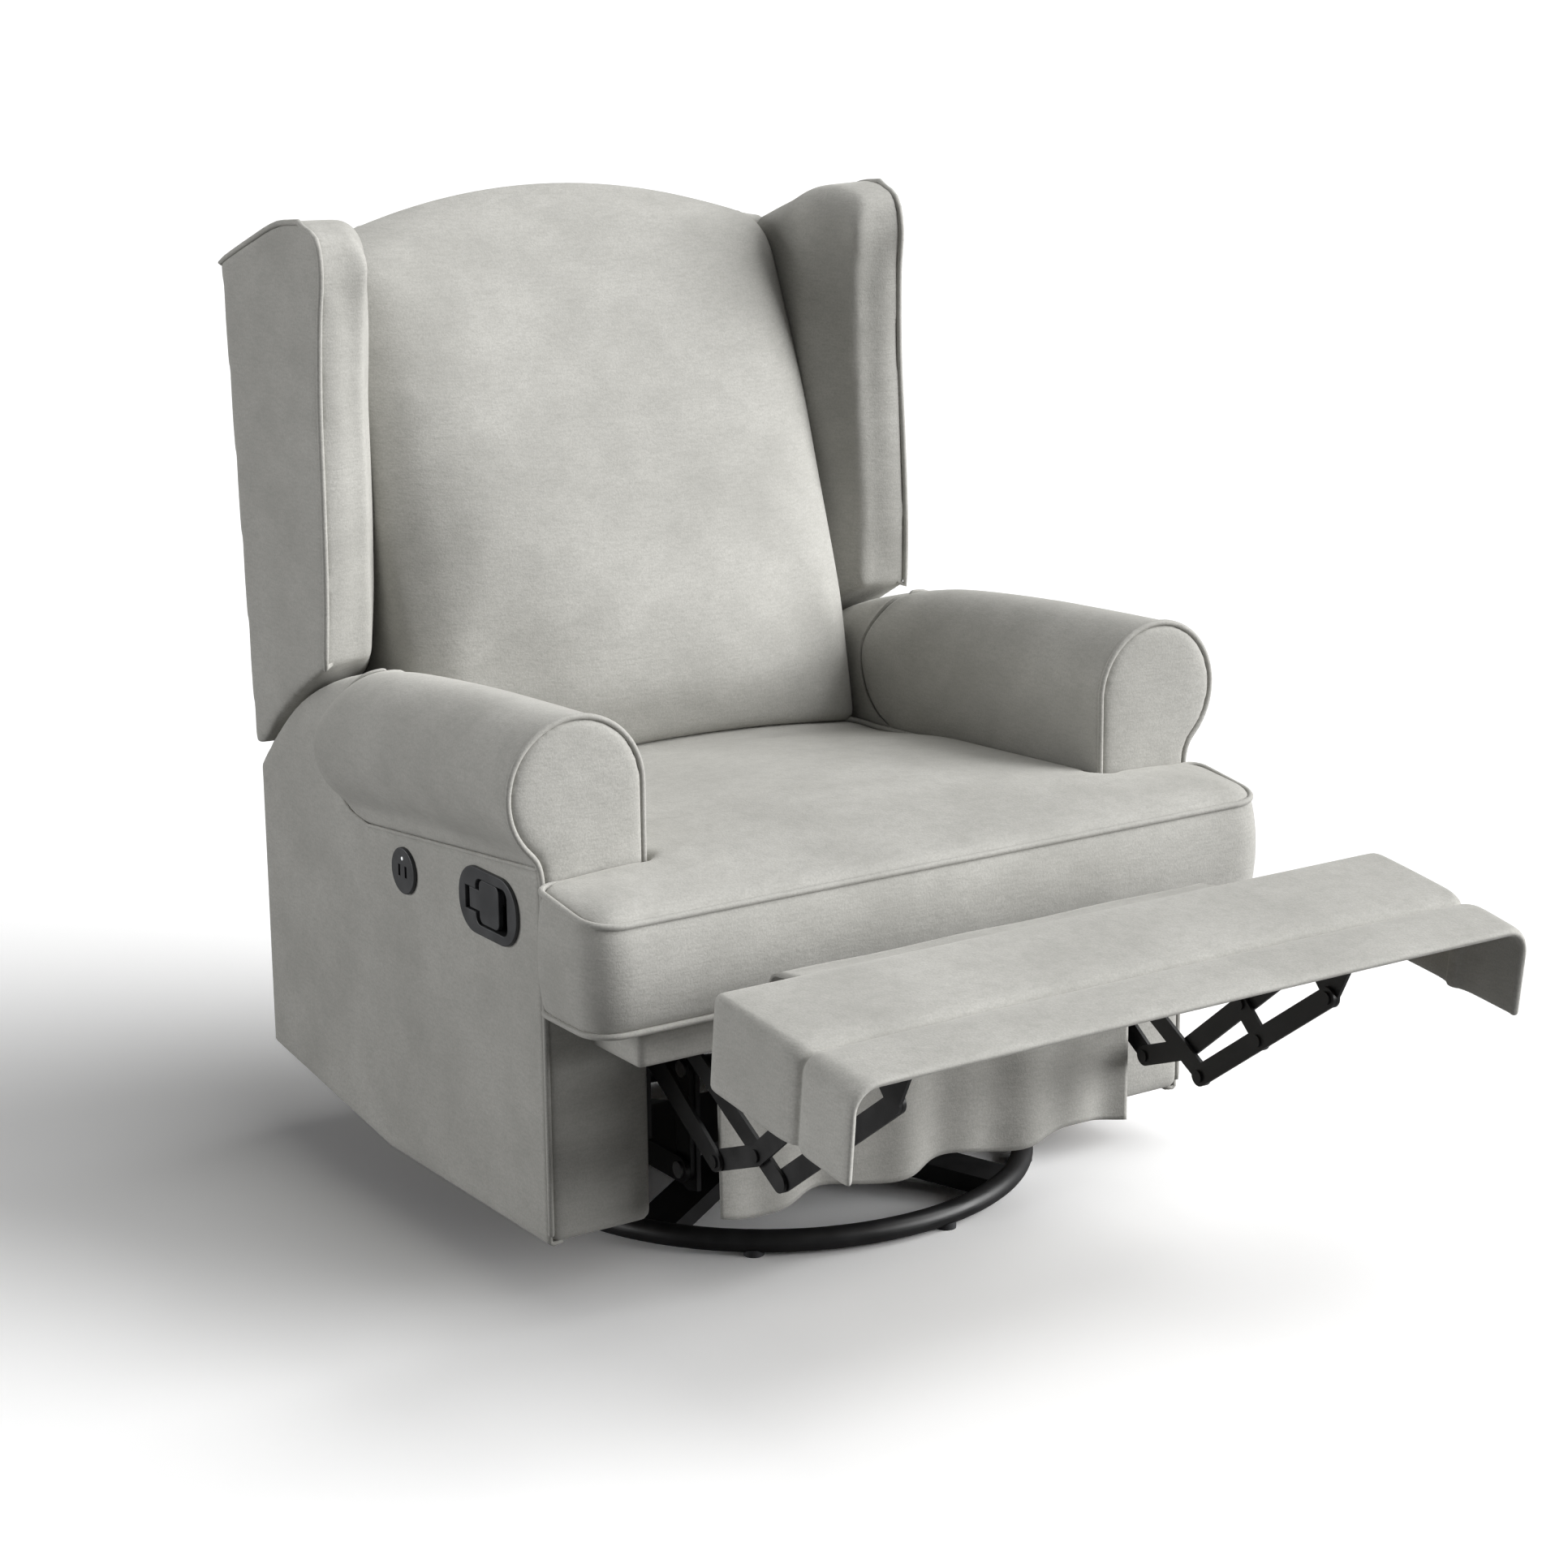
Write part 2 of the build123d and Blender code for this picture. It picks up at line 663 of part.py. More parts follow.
    with BuildPart() as arm_frame:
        with BuildSketch(side_plane(sign * arm_frame_inner)):
            frame_rear = arm_rear - rear_panel_thick - face_gap
            frame_corner = seam_z(shoulder_end) - face_gap
            with BuildLine():
                Polyline(
                    (roll_front, arm_bottom + face_gap), (arm_kick, arm_bottom + face_gap),
                    (frame_rear, arm_rear_bottom + face_gap), (frame_rear, frame_corner),
                    (shoulder_end, frame_corner), (roll_front, seam_z(roll_front) - face_gap), close=True,
                )
            make_face()
            with BuildLine():
                Polyline(
                    (roll_front + arm_frame_bar, arm_bottom + arm_frame_bar),
                    (arm_kick, arm_bottom + arm_frame_bar),
                    (frame_rear - arm_frame_bar, arm_rear_bottom + arm_frame_bar),
                    (frame_rear - arm_frame_bar, frame_corner - arm_frame_bar),
                    (shoulder_end, frame_corner - arm_frame_bar),
                    (roll_front + arm_frame_bar, seam_z(roll_front) - arm_frame_bar), close=True,
                )
            make_face(mode=Mode.SUBTRACT)
        extrude(amount=sign * arm_frame_thick)
    save(arm_frame, f"{side}_arm_frame")

# Pull handle: bezel with finger cup, paddle lever; and the round charging socket
panel_face = -arm_outer
handle_face = Plane(origin=(panel_face, handle_y, handle_z), x_dir=(0, -1, 0), z_dir=(-1, 0, 0))
lever_axis = paddle_length / 2 + stem_length * 0.7
lever_depth = paddle_sink + paddle_thick + lever_barrel / 2 - bezel_proud


with BuildPart() as handle_bezel:
    with BuildSketch(handle_face):
        RectangleRounded(bezel_length, bezel_height, bezel_round)
    extrude(amount=bezel_proud)
    with BuildSketch(handle_face):
        RectangleRounded(bezel_length - 14, bezel_height - 14, bezel_round - 7)
    extrude(amount=-cup_depth)
    with BuildSketch(handle_face.offset(bezel_proud)):
        with Locations(((finger_gap - paddle_swing) / 2, 0)):
            opening_length = paddle_length + finger_gap + paddle_swing
            RectangleRounded(opening_length, paddle_height + 2 * paddle_play, paddle_round + paddle_play)
        with Locations((-(paddle_length + stem_length + stem_swing) / 2, 0)):
            Rectangle(stem_length + stem_swing, stem_height + 2 * paddle_play)
    extrude(amount=-(bezel_proud + cup_depth - cup_wall), mode=Mode.SUBTRACT)
    fillet(handle_bezel.edges().group_by(Axis.X)[0], edge_round)
    with BuildSketch(Plane(origin=(panel_face, handle_y, handle_z), x_dir=(-1, 0, 0), z_dir=(0, 0, 1))):
        with Locations((-lever_depth, -lever_axis)):
            Circle(lever_pin)
    extrude(amount=stem_height / 2 + 2 * paddle_play, both=True)
save(handle_bezel, "handle_bezel")

with BuildPart() as release_lever:
    with BuildSketch(handle_face.offset(bezel_proud - paddle_sink)):
        RectangleRounded(paddle_length, paddle_height, paddle_round)
        with Locations((-(paddle_length + stem_length) / 2, 0)):
            Rectangle(stem_length, stem_height)
    extrude(amount=-paddle_thick)
    fillet(release_lever.edges().group_by(Axis.X)[0], edge_round)
    with BuildSketch(Plane(origin=(panel_face, handle_y, handle_z), x_dir=(-1, 0, 0), z_dir=(0, 0, 1))):
        with Locations((-lever_depth, -lever_axis)):
            Circle(lever_barrel)
    extrude(amount=stem_height / 2 - 1, both=True)
    with BuildSketch(Plane(origin=(panel_face, handle_y, handle_z), x_dir=(-1, 0, 0), z_dir=(0, 0, 1))):
        with Locations((-lever_depth, -lever_axis)):
            Circle(lever_pin + run_fit)
    extrude(amount=stem_height, both=True, mode=Mode.SUBTRACT)
save(release_lever, "release_lever")

socket_face = Plane(origin=(panel_face, socket_y, socket_z), x_dir=(0, -1, 0), z_dir=(-1, 0, 0))
with BuildPart() as charging_socket:
    with BuildSketch(socket_face):
        Circle(socket_radius)
    extrude(amount=socket_proud)
    fillet(charging_socket.edges().group_by(Axis.X)[0], socket_proud / 3)
    with BuildSketch(socket_face):
        Circle(socket_body)
    extrude(amount=-socket_depth)
    with BuildSketch(socket_face.offset(socket_proud)):
        with GridLocations(slot_spacing, 0, 2, 1):
            Rectangle(slot_width, slot_height)
    extrude(amount=-slot_depth, mode=Mode.SUBTRACT)
save(charging_socket, "charging_socket")

with BuildPart() as release_cable:
    cable_start = -(arm_outer - cup_depth) + run_fit
    cable_drop = cable_start + 32
    cable_end = -(bent_x + link_thick / 2)
    with BuildLine():
        FilletPolyline(
            (cable_start, handle_y, handle_z), (cable_drop, handle_y, handle_z),
            (cable_drop, handle_y, cable_z), (cable_end, handle_y, cable_z), radius=cable_bend,
        )
    with BuildSketch(side_plane(cable_start)):
        with Locations((handle_y, handle_z)):
            Circle(cable_radius)
    sweep()
save(release_cable, "release_cable")

# Footrest linkage: plates on the seat frame, drive tube and five pairs of links
for side, sign in SIDES:
    with BuildPart() as side_plate:
        with BuildSketch(side_plane(sign * bent_x)):
            with Locations(drive_pivot):
                Circle(drive_radius + 7)
            with Locations(cross_pivot):
                Circle(link_width / 2)
            with Locations(front_spacer, rear_spacer):
                Circle(spacer_radius + 4)
            make_hull()
        extrude(amount=link_thick / 2, both=True)
        pivot_hole(sign, bent_x, drive_pivot, drive_radius)
        pivot_hole(sign, bent_x, front_spacer, rivet_radius)
        pivot_hole(sign, bent_x, rear_spacer, rivet_radius)
        inward_pin(sign, bent_x, cross_pivot)
        outer_head(sign, bent_x, cross_pivot)
    save(side_plate, f"{side}_side_plate")

with BuildPart() as plate_spacers:
    for side, sign in SIDES:
        for at in (front_spacer, rear_spacer):
            plate_in = bent_x - link_thick / 2
            plate_out = bent_x + link_thick / 2 + run_fit
            rod(sign, seat_rail_outer, plate_in, at, spacer_radius)
            rod(sign, plate_in, plate_out, at, rivet_radius)
            rod(sign, plate_out, plate_out + rivet_cap / 2, at, rivet_head)
save(plate_spacers, "plate_spacers")

with BuildPart() as drive_tube:
    with BuildSketch(side_plane(0)):
        with Locations(drive_pivot):
            Circle(drive_radius)
            Circle(drive_radius - drive_wall, mode=Mode.SUBTRACT)
    extrude(amount=link_outer + rivet_cap, both=True)
save(drive_tube, "drive_tube")

with BuildPart() as lift_links:
    for side, sign in SIDES:
        with BuildSketch(side_plane(sign * lift_x)):
            with Locations(drive_pivot):
                Circle(drive_radius + 6)
            with Locations(lift_end):
                Circle(link_width / 2)
            make_hull()
        extrude(amount=link_thick / 2, both=True)
        pivot_hole(sign, lift_x, drive_pivot, drive_radius)
        outer_head(sign, lift_x, lift_end)
save(lift_links, "lift_links")

with BuildPart() as cross_links:
    for side, sign in SIDES:
        with BuildSketch(side_plane(sign * cross_x)):
            slot_between(cross_pivot, long_foot, link_width)
        extrude(amount=link_thick / 2, both=True)
        pivot_hole(sign, cross_x, cross_pivot, rivet_radius)
        outward_pin(sign, cross_x, scissor_pivot)
        inward_pin(sign, cross_x, long_foot)
save(cross_links, "cross_links")

with BuildPart() as bent_links:
    for side, sign in SIDES:
        with BuildSketch(side_plane(sign * bent_x)):
            slot_between(lift_end, scissor_pivot, link_width)
            slot_between(scissor_pivot, bent_end, link_width)
        extrude(amount=link_thick / 2, both=True)
        pivot_hole(sign, bent_x, scissor_pivot, rivet_radius)
        inner_head(sign, bent_x, lift_end)
        outer_head(sign, bent_x, bent_end)
        outer_head(sign, bent_x, coupler_top)
        inward_pin(sign, bent_x, coupler_top)
save(bent_links, "bent_links")

with BuildPart() as coupler_links:
    for side, sign in SIDES:
        with BuildSketch(side_plane(sign * cross_x)):
            slot_between(coupler_top, coupler_foot, link_width)
        extrude(amount=link_thick / 2, both=True)
        pivot_hole(sign, cross_x, coupler_top, rivet_radius)
        rod(sign, cross_x, cross_x + link_thick / 2 + rivet_cap, coupler_foot, rivet_radius)
save(coupler_links, "coupler_links")

with BuildPart() as long_links:
    for side, sign in SIDES:
        with BuildSketch(side_plane(sign * long_x)):
            slot_between(long_foot, long_end, link_width)
        extrude(amount=link_thick / 2, both=True)
        pivot_hole(sign, long_x, long_foot, rivet_radius)
        pivot_hole(sign, long_x, long_end, rivet_radius)
        inner_head(sign, long_x, coupler_foot)
save(long_links, "long_links")

# Footrest: padded cover with side skirts, board, brackets and the cloth flap behind it
slope = radians(rest_slope)
rest_section = Plane(
    origin=(0, rest_near_y, rest_near_z), x_dir=(1, 0, 0), z_dir=(0, -cos(slope), -sin(slope))
)
board_under = -rest_foam - face_gap - rest_board_thick

with BuildPart() as footrest_pad:
    with BuildSketch(rest_section):
        with BuildLine():
            skirt_in = rest_half - rest_skirt_thick
            top_half = rest_half - rest_edge
            corner = rest_edge * (1 - cos(radians(45)))
            Polyline(
                (rest_half, -rest_edge), (rest_half, -rest_skirt), (skirt_in, -rest_skirt),
                (skirt_in, -rest_foam), (-skirt_in, -rest_foam), (-skirt_in, -rest_skirt),
                (-rest_half, -rest_skirt), (-rest_half, -rest_edge),
            )
            ThreePointArc((-rest_half, -rest_edge), (corner - rest_half, -corner), (-top_half, 0))
            ThreePointArc((-top_half, 0), (0, rest_crown), (top_half, 0))
            ThreePointArc((top_half, 0), (rest_half - corner, -corner), (rest_half, -rest_edge))
        make_face()
    extrude(amount=rest_length)
save(footrest_pad, "footrest_pad")

with BuildPart() as footrest_board:
    with BuildSketch(rest_section.offset(rest_board_inset)):
        with Locations((0, board_under + rest_board_thick / 2)):
            Rectangle(2 * (rest_half - rest_board_margin), rest_board_thick)
    extrude(amount=rest_length - rest_strip - rest_board_inset)
save(footrest_board, "footrest_board")


def rest_point(along, depth):
    """Place on the footrest, measured forward from its near edge and down from its top."""
    return (
        rest_near_y - along * cos(slope) + depth * sin(slope),
        rest_near_z - along * sin(slope) - depth * cos(slope),
    )


with BuildPart() as footrest_brackets:
    bracket_top = face_gap - board_under
    bracket_reach = (bracket_start, rest_length - rest_strip - bracket_inset)
    for side, sign in SIDES:
        with BuildSketch(side_plane(sign * cross_x)):
            with BuildLine():
                Polyline(
                    rest_point(bracket_reach[0], bracket_top), rest_point(bracket_reach[1], bracket_top),
                    rest_point(bracket_reach[1], bracket_top + link_width / 2),
                    (long_end[0] - link_width / 3, long_end[1] - link_width / 4),
                    (long_end[0] + link_width / 4, long_end[1] - link_width / 3),
                    (bent_end[0] + link_width / 2, bent_end[1] - link_width / 4), close=True,
                )
            make_face()
            with Locations(long_end, bent_end):
                Circle(link_width / 2)
        extrude(amount=link_thick / 2, both=True)
        flange_mid = sign * (cross_x + link_thick / 2 - flange_width / 2)
        with BuildSketch(rest_section.offset(bracket_reach[0])):
            with Locations((flange_mid, -bracket_top - flange_thick / 2)):
                Rectangle(flange_width, flange_thick)
        extrude(amount=bracket_reach[1] - bracket_reach[0])
        inward_pin(sign, cross_x, long_end)
        inner_head(sign, cross_x, bent_end)
save(footrest_brackets, "footrest_brackets")

with BuildPart() as footrest_flap:
    with BuildSketch(side_plane(0)):
        with BuildLine():
            flap_top = rest_point(-face_gap, flap_thick)
            flap_under = rest_point(-face_gap, 2 * flap_thick)
            Line(flap_top, flap_back)
            ThreePointArc(flap_back, (flap_back[0] + 9, flap_back[1] - 15), flap_foot)
            Line(flap_foot, (flap_foot[0] - flap_thick, flap_foot[1]))
            ThreePointArc(
                (flap_foot[0] - flap_thick, flap_foot[1]), (flap_back[0] + 6.5, flap_back[1] - 17),
                (flap_back[0] - 1, flap_back[1] - flap_thick),
            )
            Line((flap_back[0] - 1, flap_back[1] - flap_thick), flap_under)
            Line(flap_under, flap_top)
        make_face()
    extrude(amount=flap_half, both=True)
save(footrest_flap, "footrest_flap")


def cloth_band(wave):
    """Thin band of cloth with even folds, seen from above."""
    step = 2 * curtain_half / curtain_folds
    with BuildLine() as outline:
        for fold in range(curtain_folds):
            start = -curtain_half + fold * step
            bulge = wave if fold % 2 else -wave
            middle = (start + step / 2, curtain_y + bulge)
            ThreePointArc((start, curtain_y), middle, (start + step, curtain_y))
        Line((curtain_half, curtain_y), (curtain_half, curtain_y + curtain_thick))
        for fold in reversed(range(curtain_folds)):
            start = -curtain_half + fold * step
            bulge = (wave if fold % 2 else -wave) + curtain_thick
            ThreePointArc(
                (start + step, curtain_y + curtain_thick), (start + step / 2, curtain_y + bulge),
                (start, curtain_y + curtain_thick),
            )
        Line((-curtain_half, curtain_y + curtain_thick), (-curtain_half, curtain_y))
    make_face(outline.edges())


with BuildPart() as front_curtain:
    for height, wave in ((seat_bottom - face_gap, curtain_wave_top), (curtain_bottom, curtain_wave_foot)):
        with BuildSketch(Plane.XY.offset(height)):
            cloth_band(wave)
    loft(ruled=True)
save(front_curtain, "front_curtain")

# Back: hinge plates, frame, outside panel, cushion and wings
with BuildPart() as hinge_brackets:
    for side, sign in SIDES:
        with BuildSketch(side_plane(sign * seat_rail_outer)):
            with Locations((recline_y, recline_z)):
                Circle(hinge_boss)
            with Locations((seat_rear - hinge_root, seat_bottom + seat_rail_height / 2)):
                Rectangle(hinge_plate_length, hinge_plate_height)
            make_hull()
            with Locations((recline_y, recline_z)):
                Circle(recline_pin + run_fit, mode=Mode.SUBTRACT)
        extrude(amount=sign * hinge_plate)
save(hinge_brackets, "hinge_brackets")

with BuildPart() as hinge_arms:
    for side, sign in SIDES:
        arm_x = post_inner - hinge_plate
        with BuildSketch(side_plane(sign * arm_x)):
            with Locations((recline_y, recline_z)):
                Circle(hinge_boss)
            foot_z = post_bottom + hinge_foot_height / 2
            with Locations((back_y(post_bottom) - back_panel_thick - post_depth / 2, foot_z)):
                Rectangle(post_depth - 2 * hinge_edge, hinge_foot_height)
            make_hull()
        extrude(amount=sign * hinge_plate)
        pin_end = seat_rail_outer - face_gap
        rod(sign, arm_x, pin_end, (recline_y, recline_z), recline_pin)
        rod(sign, pin_end, pin_end - rivet_cap, (recline_y, recline_z), recline_pin + 4)
save(hinge_arms, "hinge_arms")


def post_front(z):
    """Front face of the leaning back posts."""
    return back_y(z) - back_panel_thick - face_gap - post_depth


with BuildPart() as back_frame:
    for side, sign in SIDES:
        with BuildSketch(side_plane(sign * post_inner)):
            with BuildLine():
                Polyline(
                    (post_front(post_bottom), post_bottom),
                    (post_front(post_bottom) + post_depth, post_bottom),
                    (post_front(post_top) + post_depth, post_top), (post_front(post_top), post_top),
                    close=True,
                )
            make_face()
        extrude(amount=sign * post_width)
    for z in (post_bottom + low_rail_rise, (post_bottom + post_top) / 2, post_top - back_rail_height):
        with BuildSketch(side_plane(0)):
            with BuildLine():
                Polyline(
                    (post_front(z), z), (post_front(z) + post_depth, z),
                    (post_front(z + back_rail_height) + post_depth, z + back_rail_height),
                    (post_front(z + back_rail_height), z + back_rail_height), close=True,
                )
            make_face()
        extrude(amount=post_inner, both=True)
save(back_frame, "back_frame")

with BuildPart() as back_panel:
    with BuildSketch(side_plane(0)):
        with BuildLine():
            Polyline(
                (back_panel_foot, back_panel_bottom), (back_y(back_bend_z), back_bend_z),
                (back_y(back_top), back_top), (back_y(back_top) - back_panel_thick, back_top),
                (back_y(back_bend_z) - back_panel_thick, back_bend_z),
                (back_panel_foot - back_panel_thick, back_panel_bottom), close=True,
            )
        make_face()
    extrude(amount=back_wide_half, both=True)
    with BuildSketch(front_plane(back_panel_foot - 2 * back_panel_thick)):
        with BuildLine():
            Polyline(
                (back_wide_half, back_shoulder), (back_wide_half, back_wide_bottom),
                (back_narrow_half, back_wide_bottom), (back_narrow_half, back_panel_bottom),
                (-back_narrow_half, back_panel_bottom), (-back_narrow_half, back_wide_bottom),
                (-back_wide_half, back_wide_bottom), (-back_wide_half, back_shoulder),
            )
            left_shoulder = (back_wide_half, back_shoulder)
            ThreePointArc((-back_wide_half, back_shoulder), (0, back_top - 1), left_shoulder)
        make_face()
    extrude(amount=-(back_y(back_top) - back_panel_foot + 3 * back_panel_thick), mode=Mode.INTERSECT)
save(back_panel, "back_panel")

# Back cushion sections: height, front at the middle, front at the edge
back_sections = ((460, 184, 256), (520, 172, 247), (780, 285, 345), (975, 385, 424), (1048, 420, 440))
with BuildPart() as back_cushion:
    for z, middle, edge in back_sections:
        rear = post_front(z) - face_gap
        with BuildSketch(Plane.XY.offset(z)):
            with BuildLine():
                ThreePointArc((-back_cushion_half, edge), (0, middle), (back_cushion_half, edge))
                Polyline(
                    (back_cushion_half, edge), (back_cushion_half, rear), (-back_cushion_half, rear),
                    (-back_cushion_half, edge),
                )
            make_face()
    loft(ruled=True)
    with BuildSketch(front_plane(0)):
        with BuildLine():
            Polyline(
                (back_cushion_half, back_shoulder), (back_cushion_half, back_cushion_bottom),
                (-back_cushion_half, back_cushion_bottom), (-back_cushion_half, back_shoulder),
            )
            ThreePointArc(
                (-back_cushion_half, back_shoulder), (0, back_cushion_top), (back_cushion_half, back_shoulder)
            )
        make_face()
    extrude(amount=-2 * recline_y, mode=Mode.INTERSECT)
save(back_cushion, "back_cushion")

for side, sign in SIDES:
    lean = radians(wing_tilt)
    with BuildPart() as wing:
        wing_root = (sign * wing_inner, 0, back_wide_bottom)
        with BuildSketch(Plane(wing_root, x_dir=(0, 1, 0), z_dir=(cos(lean), 0, sign * sin(lean)))):
            with BuildLine():
                wing_rear_low = back_y(back_wide_bottom) - back_panel_thick - face_gap
                wing_rear_high = back_y(back_shoulder) - back_panel_thick - face_gap
                Line((wing_rear_low, 0), (wing_rear_high, back_shoulder - back_wide_bottom))
                peak = (wing_peak, wing_peak_z - back_wide_bottom)
                brow = (wing_brow, peak[1] - wing_brow_drop)
                front_top = (wing_front, peak[1] - wing_front_drop)
                front_low = (wing_front, wing_front_bottom - back_wide_bottom)
                rear_top = (wing_rear_high, back_shoulder - back_wide_bottom)
                ThreePointArc(rear_top, (wing_top_mid, peak[1] - wing_top_sag), peak)
                ThreePointArc(peak, brow, front_top)
                Line(front_top, front_low)
                ThreePointArc(front_low, (wing_belly, wing_belly_z - back_wide_bottom), (wing_rear_low, 0))
            make_face()
        extrude(amount=sign * wing_thick)
        with BuildSketch(Plane(wing_root, x_dir=(0, 1, 0), z_dir=(-sign * sin(lean), 0, cos(lean)))):
            with BuildLine():
                wedge_front = wing_front - 2 * face_gap
                wedge_rear = wedge_front + wing_wedge
                Polyline(
                    (wedge_front, sign), (wedge_front, -sign * wing_taper), (wedge_rear, 0),
                    (wedge_rear, sign), close=True,
                )
            make_face()
        extrude(amount=back_top - back_wide_bottom, mode=Mode.SUBTRACT)
    save(wing, f"{side}_wing")
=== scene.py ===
import json
import logging
import math
from dataclasses import dataclass
from enum import Enum
from typing import Sequence

import bmesh
import bpy
import numpy as np
from mathutils import Matrix, Vector


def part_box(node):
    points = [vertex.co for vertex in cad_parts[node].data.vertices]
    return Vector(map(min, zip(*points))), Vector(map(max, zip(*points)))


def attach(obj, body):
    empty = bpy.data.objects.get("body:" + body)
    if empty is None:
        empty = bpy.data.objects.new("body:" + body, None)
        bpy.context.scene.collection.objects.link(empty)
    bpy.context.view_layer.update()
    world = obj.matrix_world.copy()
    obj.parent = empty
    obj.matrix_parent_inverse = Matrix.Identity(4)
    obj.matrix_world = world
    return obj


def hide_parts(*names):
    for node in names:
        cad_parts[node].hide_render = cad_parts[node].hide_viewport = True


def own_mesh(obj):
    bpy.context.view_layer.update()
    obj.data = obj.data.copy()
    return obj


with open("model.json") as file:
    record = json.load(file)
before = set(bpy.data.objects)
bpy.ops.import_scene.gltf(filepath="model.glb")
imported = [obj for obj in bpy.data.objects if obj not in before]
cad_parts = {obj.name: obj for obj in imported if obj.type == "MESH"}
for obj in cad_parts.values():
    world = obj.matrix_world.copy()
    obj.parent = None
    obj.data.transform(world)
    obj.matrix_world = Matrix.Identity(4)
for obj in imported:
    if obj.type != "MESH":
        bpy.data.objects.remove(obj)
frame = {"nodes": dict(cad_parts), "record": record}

LOG = logging.getLogger("recliner")
SIDES = (("left", 1.0), ("right", -1.0))
# Colour sockets of the Mix node, whose names its other kinds of socket share.
MIX_FIRST, MIX_SECOND, MIX_RESULT = 6, 7, 2
NOISE_ROUGHNESS = 0.55
# Range of a pattern over which roughness changes.
RUBBED_LOW, RUBBED_HIGH = 0.3, 0.7
# Smallest length or weight that counts.
TINY = 1e-9


class Facing(Enum):
    """Plane of a flat outline: the directions of its two axes and of its thickness."""

    TOP = ((1, 0, 0), (0, 1, 0), (0, 0, 1))
    FRONT = ((1, 0, 0), (0, 0, 1), (0, -1, 0))
    SIDE = ((0, 1, 0), (0, 0, 1), (1, 0, 0))

    def to_world(self, places: np.ndarray) -> np.ndarray:
        """Turns rows of places along the two axes and the thickness into x, y, z."""
        return places @ np.array(self.value, dtype=float)


def linear(code: str) -> tuple[float, float, float, float]:
    """Turns an sRGB colour into linear RGBA.

    Args:
        code: colour as "#RRGGBB".

    Returns:
        Linear red, green, blue and an alpha of 1.
    """
    channels = [int(code[i:i + 2], 16) / 255 for i in (1, 3, 5)]
    red, green, blue = [c / 12.92 if c <= 0.04045 else ((c + 0.055) / 1.055) ** 2.4 for c in channels]
    return red, green, blue, 1.0


def add_node(tree: bpy.types.NodeTree, kind: str, inputs: dict | None = None, **options) -> bpy.types.Node:
    """Adds a shader node.

    Args:
        tree: node tree to add to.
        kind: node type.
        inputs: input name or number to a constant, or to the output socket that feeds it.
        options: properties of the node itself.

    Returns:
        The new node.
    """
    node = tree.nodes.new(kind)
    for name, value in options.items():
        setattr(node, name, value)
    for name, value in (inputs or {}).items():
        if isinstance(value, bpy.types.NodeSocket):
            tree.links.new(value, node.inputs[name])
        else:
            node.inputs[name].default_value = value
    return node


class Mark(Enum):
    """Kind of pattern that a finish is made of."""

    NOISE = "ShaderNodeTexNoise"
    CHECKER = "ShaderNodeTexChecker"


@dataclass(frozen=True)
class Pattern:
    """Pattern of a real size: its largest mark in metres, its finer layers and how far it is drawn out."""

    size: float
    detail: float = 2.0
    stretch: tuple[float, float, float] = (1.0, 1.0, 1.0)
    mark: Mark = Mark.NOISE


@dataclass(frozen=True)
class Layer:
    """Colour that shows where a pattern is high, between two of its values and up to a share."""

    pattern: str
    colour: str
    low: float = 0.0
    high: float = 1.0
    most: float = 1.0


@dataclass(frozen=True)
class Relief:
    """Bump that a pattern gives, with its height in metres."""

    pattern: str
    strength: float
    height: float


@dataclass(frozen=True)
class Rubbing:
    """Roughness that a pattern drives from one value to another."""

    pattern: str
    start: float
    end: float


